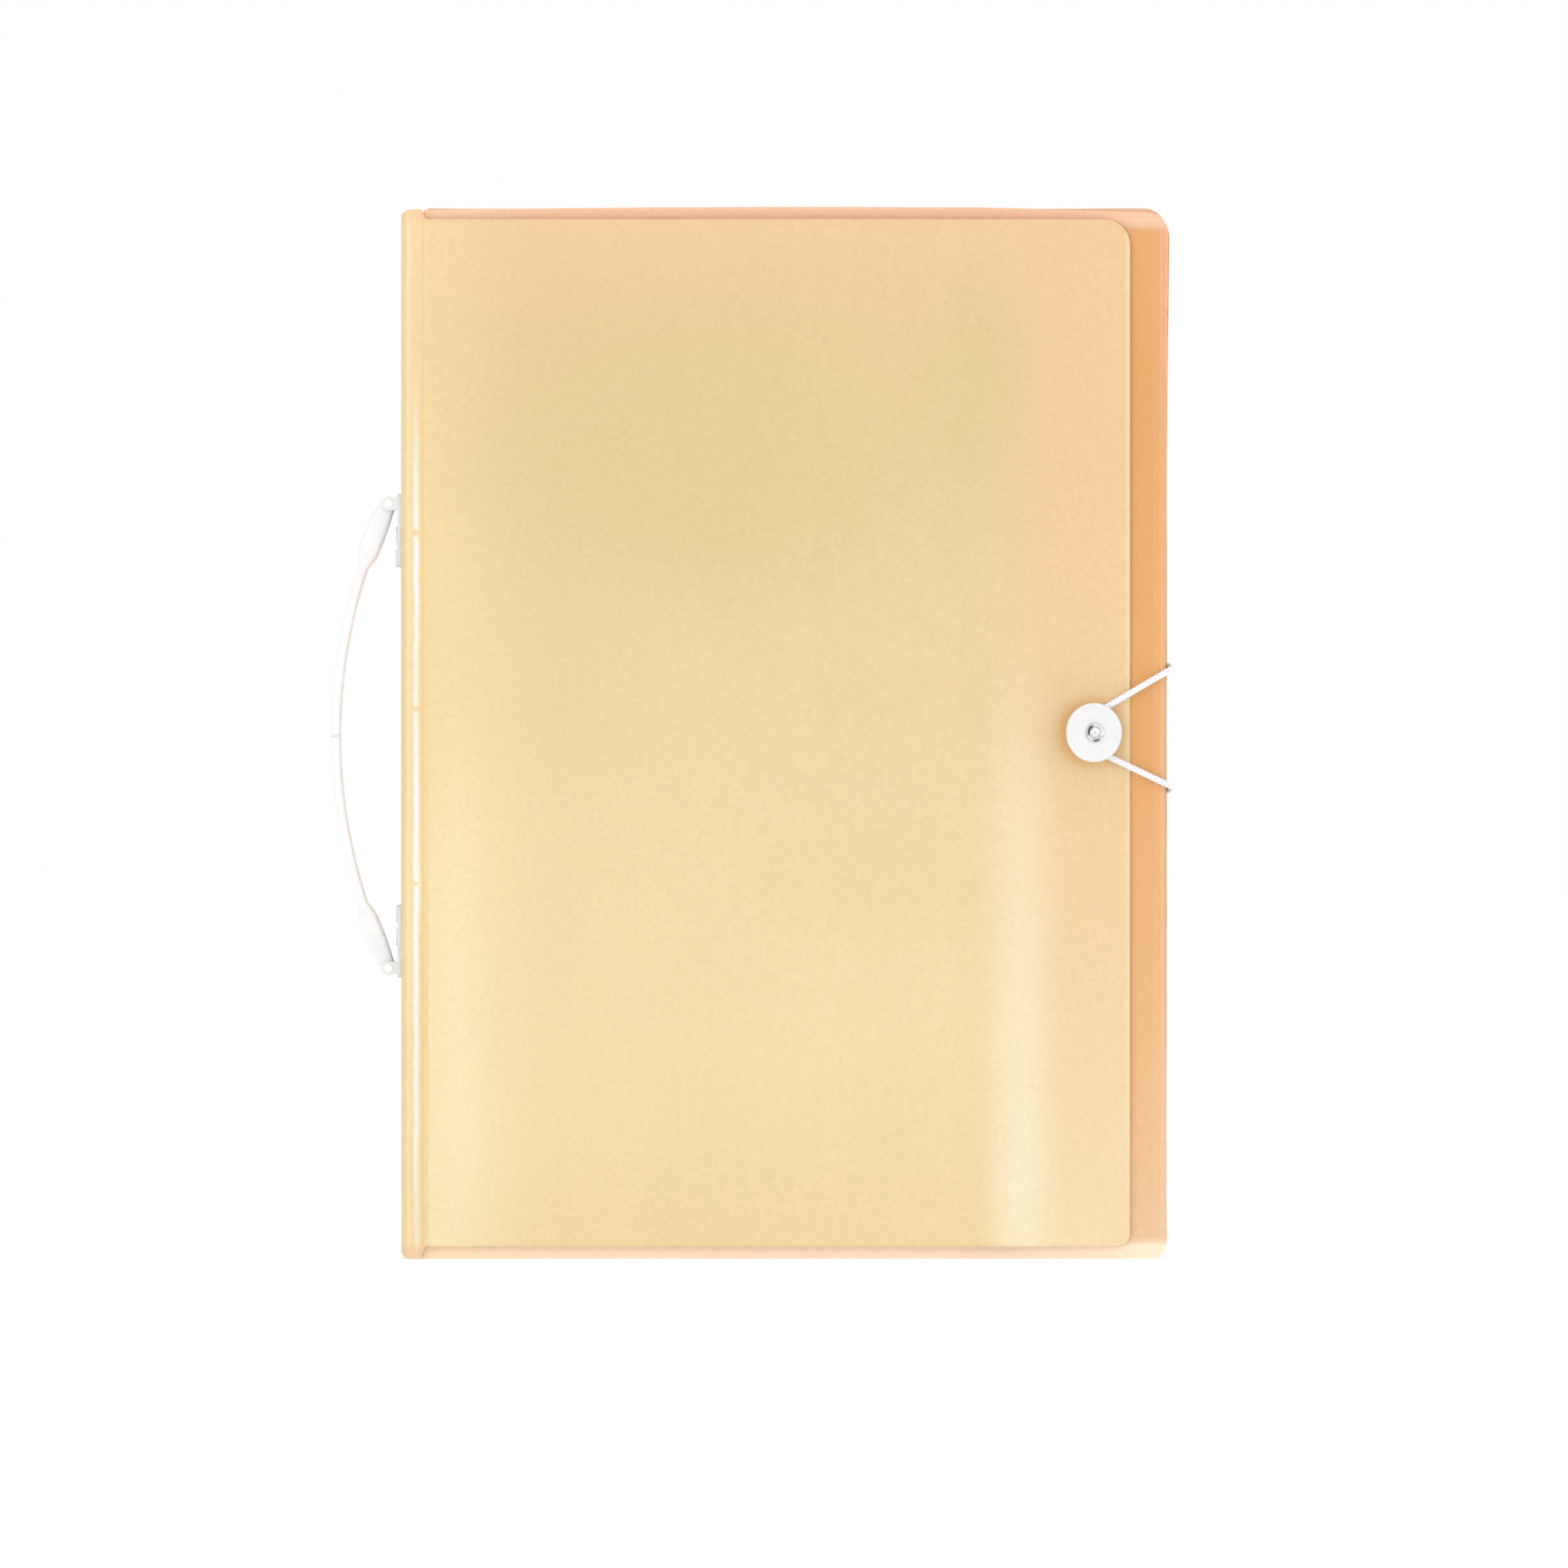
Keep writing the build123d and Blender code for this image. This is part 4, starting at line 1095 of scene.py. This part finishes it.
def resample(pts, step):
    pts = np.array(pts)
    seg = np.linalg.norm(np.diff(pts, axis=0), axis=1)
    run = np.concatenate([[0], np.cumsum(seg)])
    n = max(2, int(round(run[-1] / step)))
    s = np.linspace(0, run[-1], n + 1)
    return np.stack([np.interp(s, run, pts[:, i]) for i in range(3)], 1), s


neck = Vector(BUTTON_FOOT) + normal * 2.4
along = Vector((CORD_SIDE_X - neck.x, CORD_FRONT_Y - neck.y, 0))
reach = along.length
along.normalize()


def string_angle(z):
    dz = abs(z - BUTTON_FOOT[2])
    return math.degrees(math.atan2(dz, reach) - math.asin(CORD_LOOP_R / math.hypot(dz, reach)))


up, down = string_angle(CORD_FRONT_Z[0]), string_angle(CORD_FRONT_Z[1])
loop = []
for k in range(25):
    a = math.radians(90 + up + (270 - down - 90 - up) * k / 24)
    loop.append(neck + along * (CORD_LOOP_R * math.cos(a)) + Vector((0, 0, CORD_LOOP_R * math.sin(a))))


def held(i, tangent):
    pts = [
        tangent,
        (CORD_SIDE_X, CORD_FRONT_Y, CORD_FRONT_Z[i]),
        (CORD_SIDE_X, CORD_BACK_Y, CORD_BACK_Z[i]),
        (CORD_HOLE_X, CORD_BACK_Y, CORD_HOLE_Z[i]),
        (CORD_HOLE_X, 12.47, CORD_HOLE_Z[i]),
    ]
    return rounded_path(pts, [1.7, 1.9, 1.25], 0.3)


upper = held(0, loop[0])
lower = held(1, loop[-1])
centre_line = [np.array(p) for p in reversed(upper)][:-1] + [np.array(p) for p in loop] + lower[1:]
line, run = resample(centre_line, 0.42)


def tube(name, line, run, radius, mat, ring=20):
    d = np.gradient(line, axis=0)
    d /= np.linalg.norm(d, axis=1)[:, None]
    ref = np.array([0.0, 0.0, 1.0])
    n = ref - d[0] * (ref @ d[0])
    n /= np.linalg.norm(n)
    verts, uvs = [], []
    for i, p in enumerate(line):
        n = n - d[i] * (n @ d[i])
        n /= np.linalg.norm(n)
        b = np.cross(d[i], n)
        for j in range(ring + 1):
            a = 2 * math.pi * j / ring
            # eight carriers of yarn stand proud of the cord in a crossing pattern
            w = max(math.sin(4 * a + run[i] * 2.6), math.sin(4 * a - run[i] * 2.6))
            r = radius * (0.965 + 0.03 * w)
            q = p + (n * math.cos(a) + b * math.sin(a)) * r
            verts.append(P(*q))
            uvs.append((j / ring, run[i] * 2.6 / (2 * math.pi)))
    faces = []
    m = ring + 1
    for i in range(len(line) - 1):
        for j in range(ring):
            faces.append((i * m + j, i * m + j + 1, (i + 1) * m + j + 1, (i + 1) * m + j))
    start, end = len(verts), len(verts) + 1
    verts += [P(*line[0]), P(*line[-1])]
    uvs += [(0.5, 0), (0.5, 0)]
    for j in range(ring):
        faces.append((start, j + 1, j))
        last = (len(line) - 1) * m
        faces.append((end, last + j, last + j + 1))
    ob = mesh_object(name, verts, faces, mat, uvs)
    bm = bmesh.new()
    bm.from_mesh(ob.data)
    bmesh.ops.remove_doubles(bm, verts=bm.verts, dist=1e-6)
    bmesh.ops.recalc_face_normals(bm, faces=bm.faces)
    bm.to_mesh(ob.data)
    bm.free()
    ob.data.shade_smooth()
    return ob


cord = tube("closure_elastic", line, run, CORD_R, MAT["elastic"])
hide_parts("elastic_loop", "elastic_anchor")
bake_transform(cord)

# ================================================================ room
def studio(name):
    """A white lit floor: part of its light is its own, as on a light table, so shadows stay faint."""
    m = Nodes(name)
    speck = m.noise(14, 3.0, 0.5)
    base = m.mix(m.remap(speck, 0.3, 0.7), (0.59, 0.59, 0.59, 1), (0.60, 0.60, 0.60, 1))
    return m.finish(m.principled(base, 0.9, None, Specular_IOR_Level=0.1, Emission_Color=(1, 1, 1, 1), Emission_Strength=0.52))


def floor_disc():
    """A wide round floor; beyond it the surroundings are plain white."""
    verts, faces = [(0, 0, -0.00005)], []
    rings, seg = (0.5, 1.5, 4.0, 9.0, 16.0), 48
    for r in rings:
        for i in range(seg):
            a = 2 * math.pi * i / seg
            verts.append((r * math.cos(a), r * math.sin(a), -0.00005))
    for i in range(seg):
        faces.append((0, 1 + i, 1 + (i + 1) % seg))
    for k in range(len(rings) - 1):
        for i in range(seg):
            j = (i + 1) % seg
            p, q = 1 + k * seg, 1 + (k + 1) * seg
            faces.append((p + i, q + i, q + j, p + j))
    return mesh_object("studio_floor", verts, faces, studio("studio_white"))


floor_disc()

world = bpy.data.worlds.new("World")
scene.world = world
world.use_nodes = True
bg = world.node_tree.nodes["Background"]
bg.inputs["Color"].default_value = (1.0, 1.0, 1.0, 1)
bg.inputs["Strength"].default_value = 1.0


def area(name, loc, target, size, energy, color=(1, 1, 1), size_y=None):
    l = bpy.data.lights.new(name, "AREA")
    l.shape = "RECTANGLE"
    l.size = size
    l.size_y = size_y or size
    l.energy = energy
    l.color = color
    o = bpy.data.objects.new(name, l)
    scene.collection.objects.link(o)
    o.location = loc
    o.rotation_euler = (Vector(target) - Vector(loc)).to_track_quat("-Z", "Y").to_euler()
    return o


area("key_left", (-1.5, -2.1, 0.95), (0, 0, 0.15), 1.4, 7.5)
area("fill_right", (1.9, -1.7, 0.6), (0, 0, 0.15), 1.2, 4.0)
area("low_front", (0.0, -1.9, 0.10), (0, 0, 0.12), 1.6, 2.6, size_y=0.16)
area("rear", (0.8, 2.2, 1.3), (0, 0, 0.15), 1.4, 5)
area("top", (0.2, -0.4, 2.4), (0, 0, 0.1), 1.6, 3)
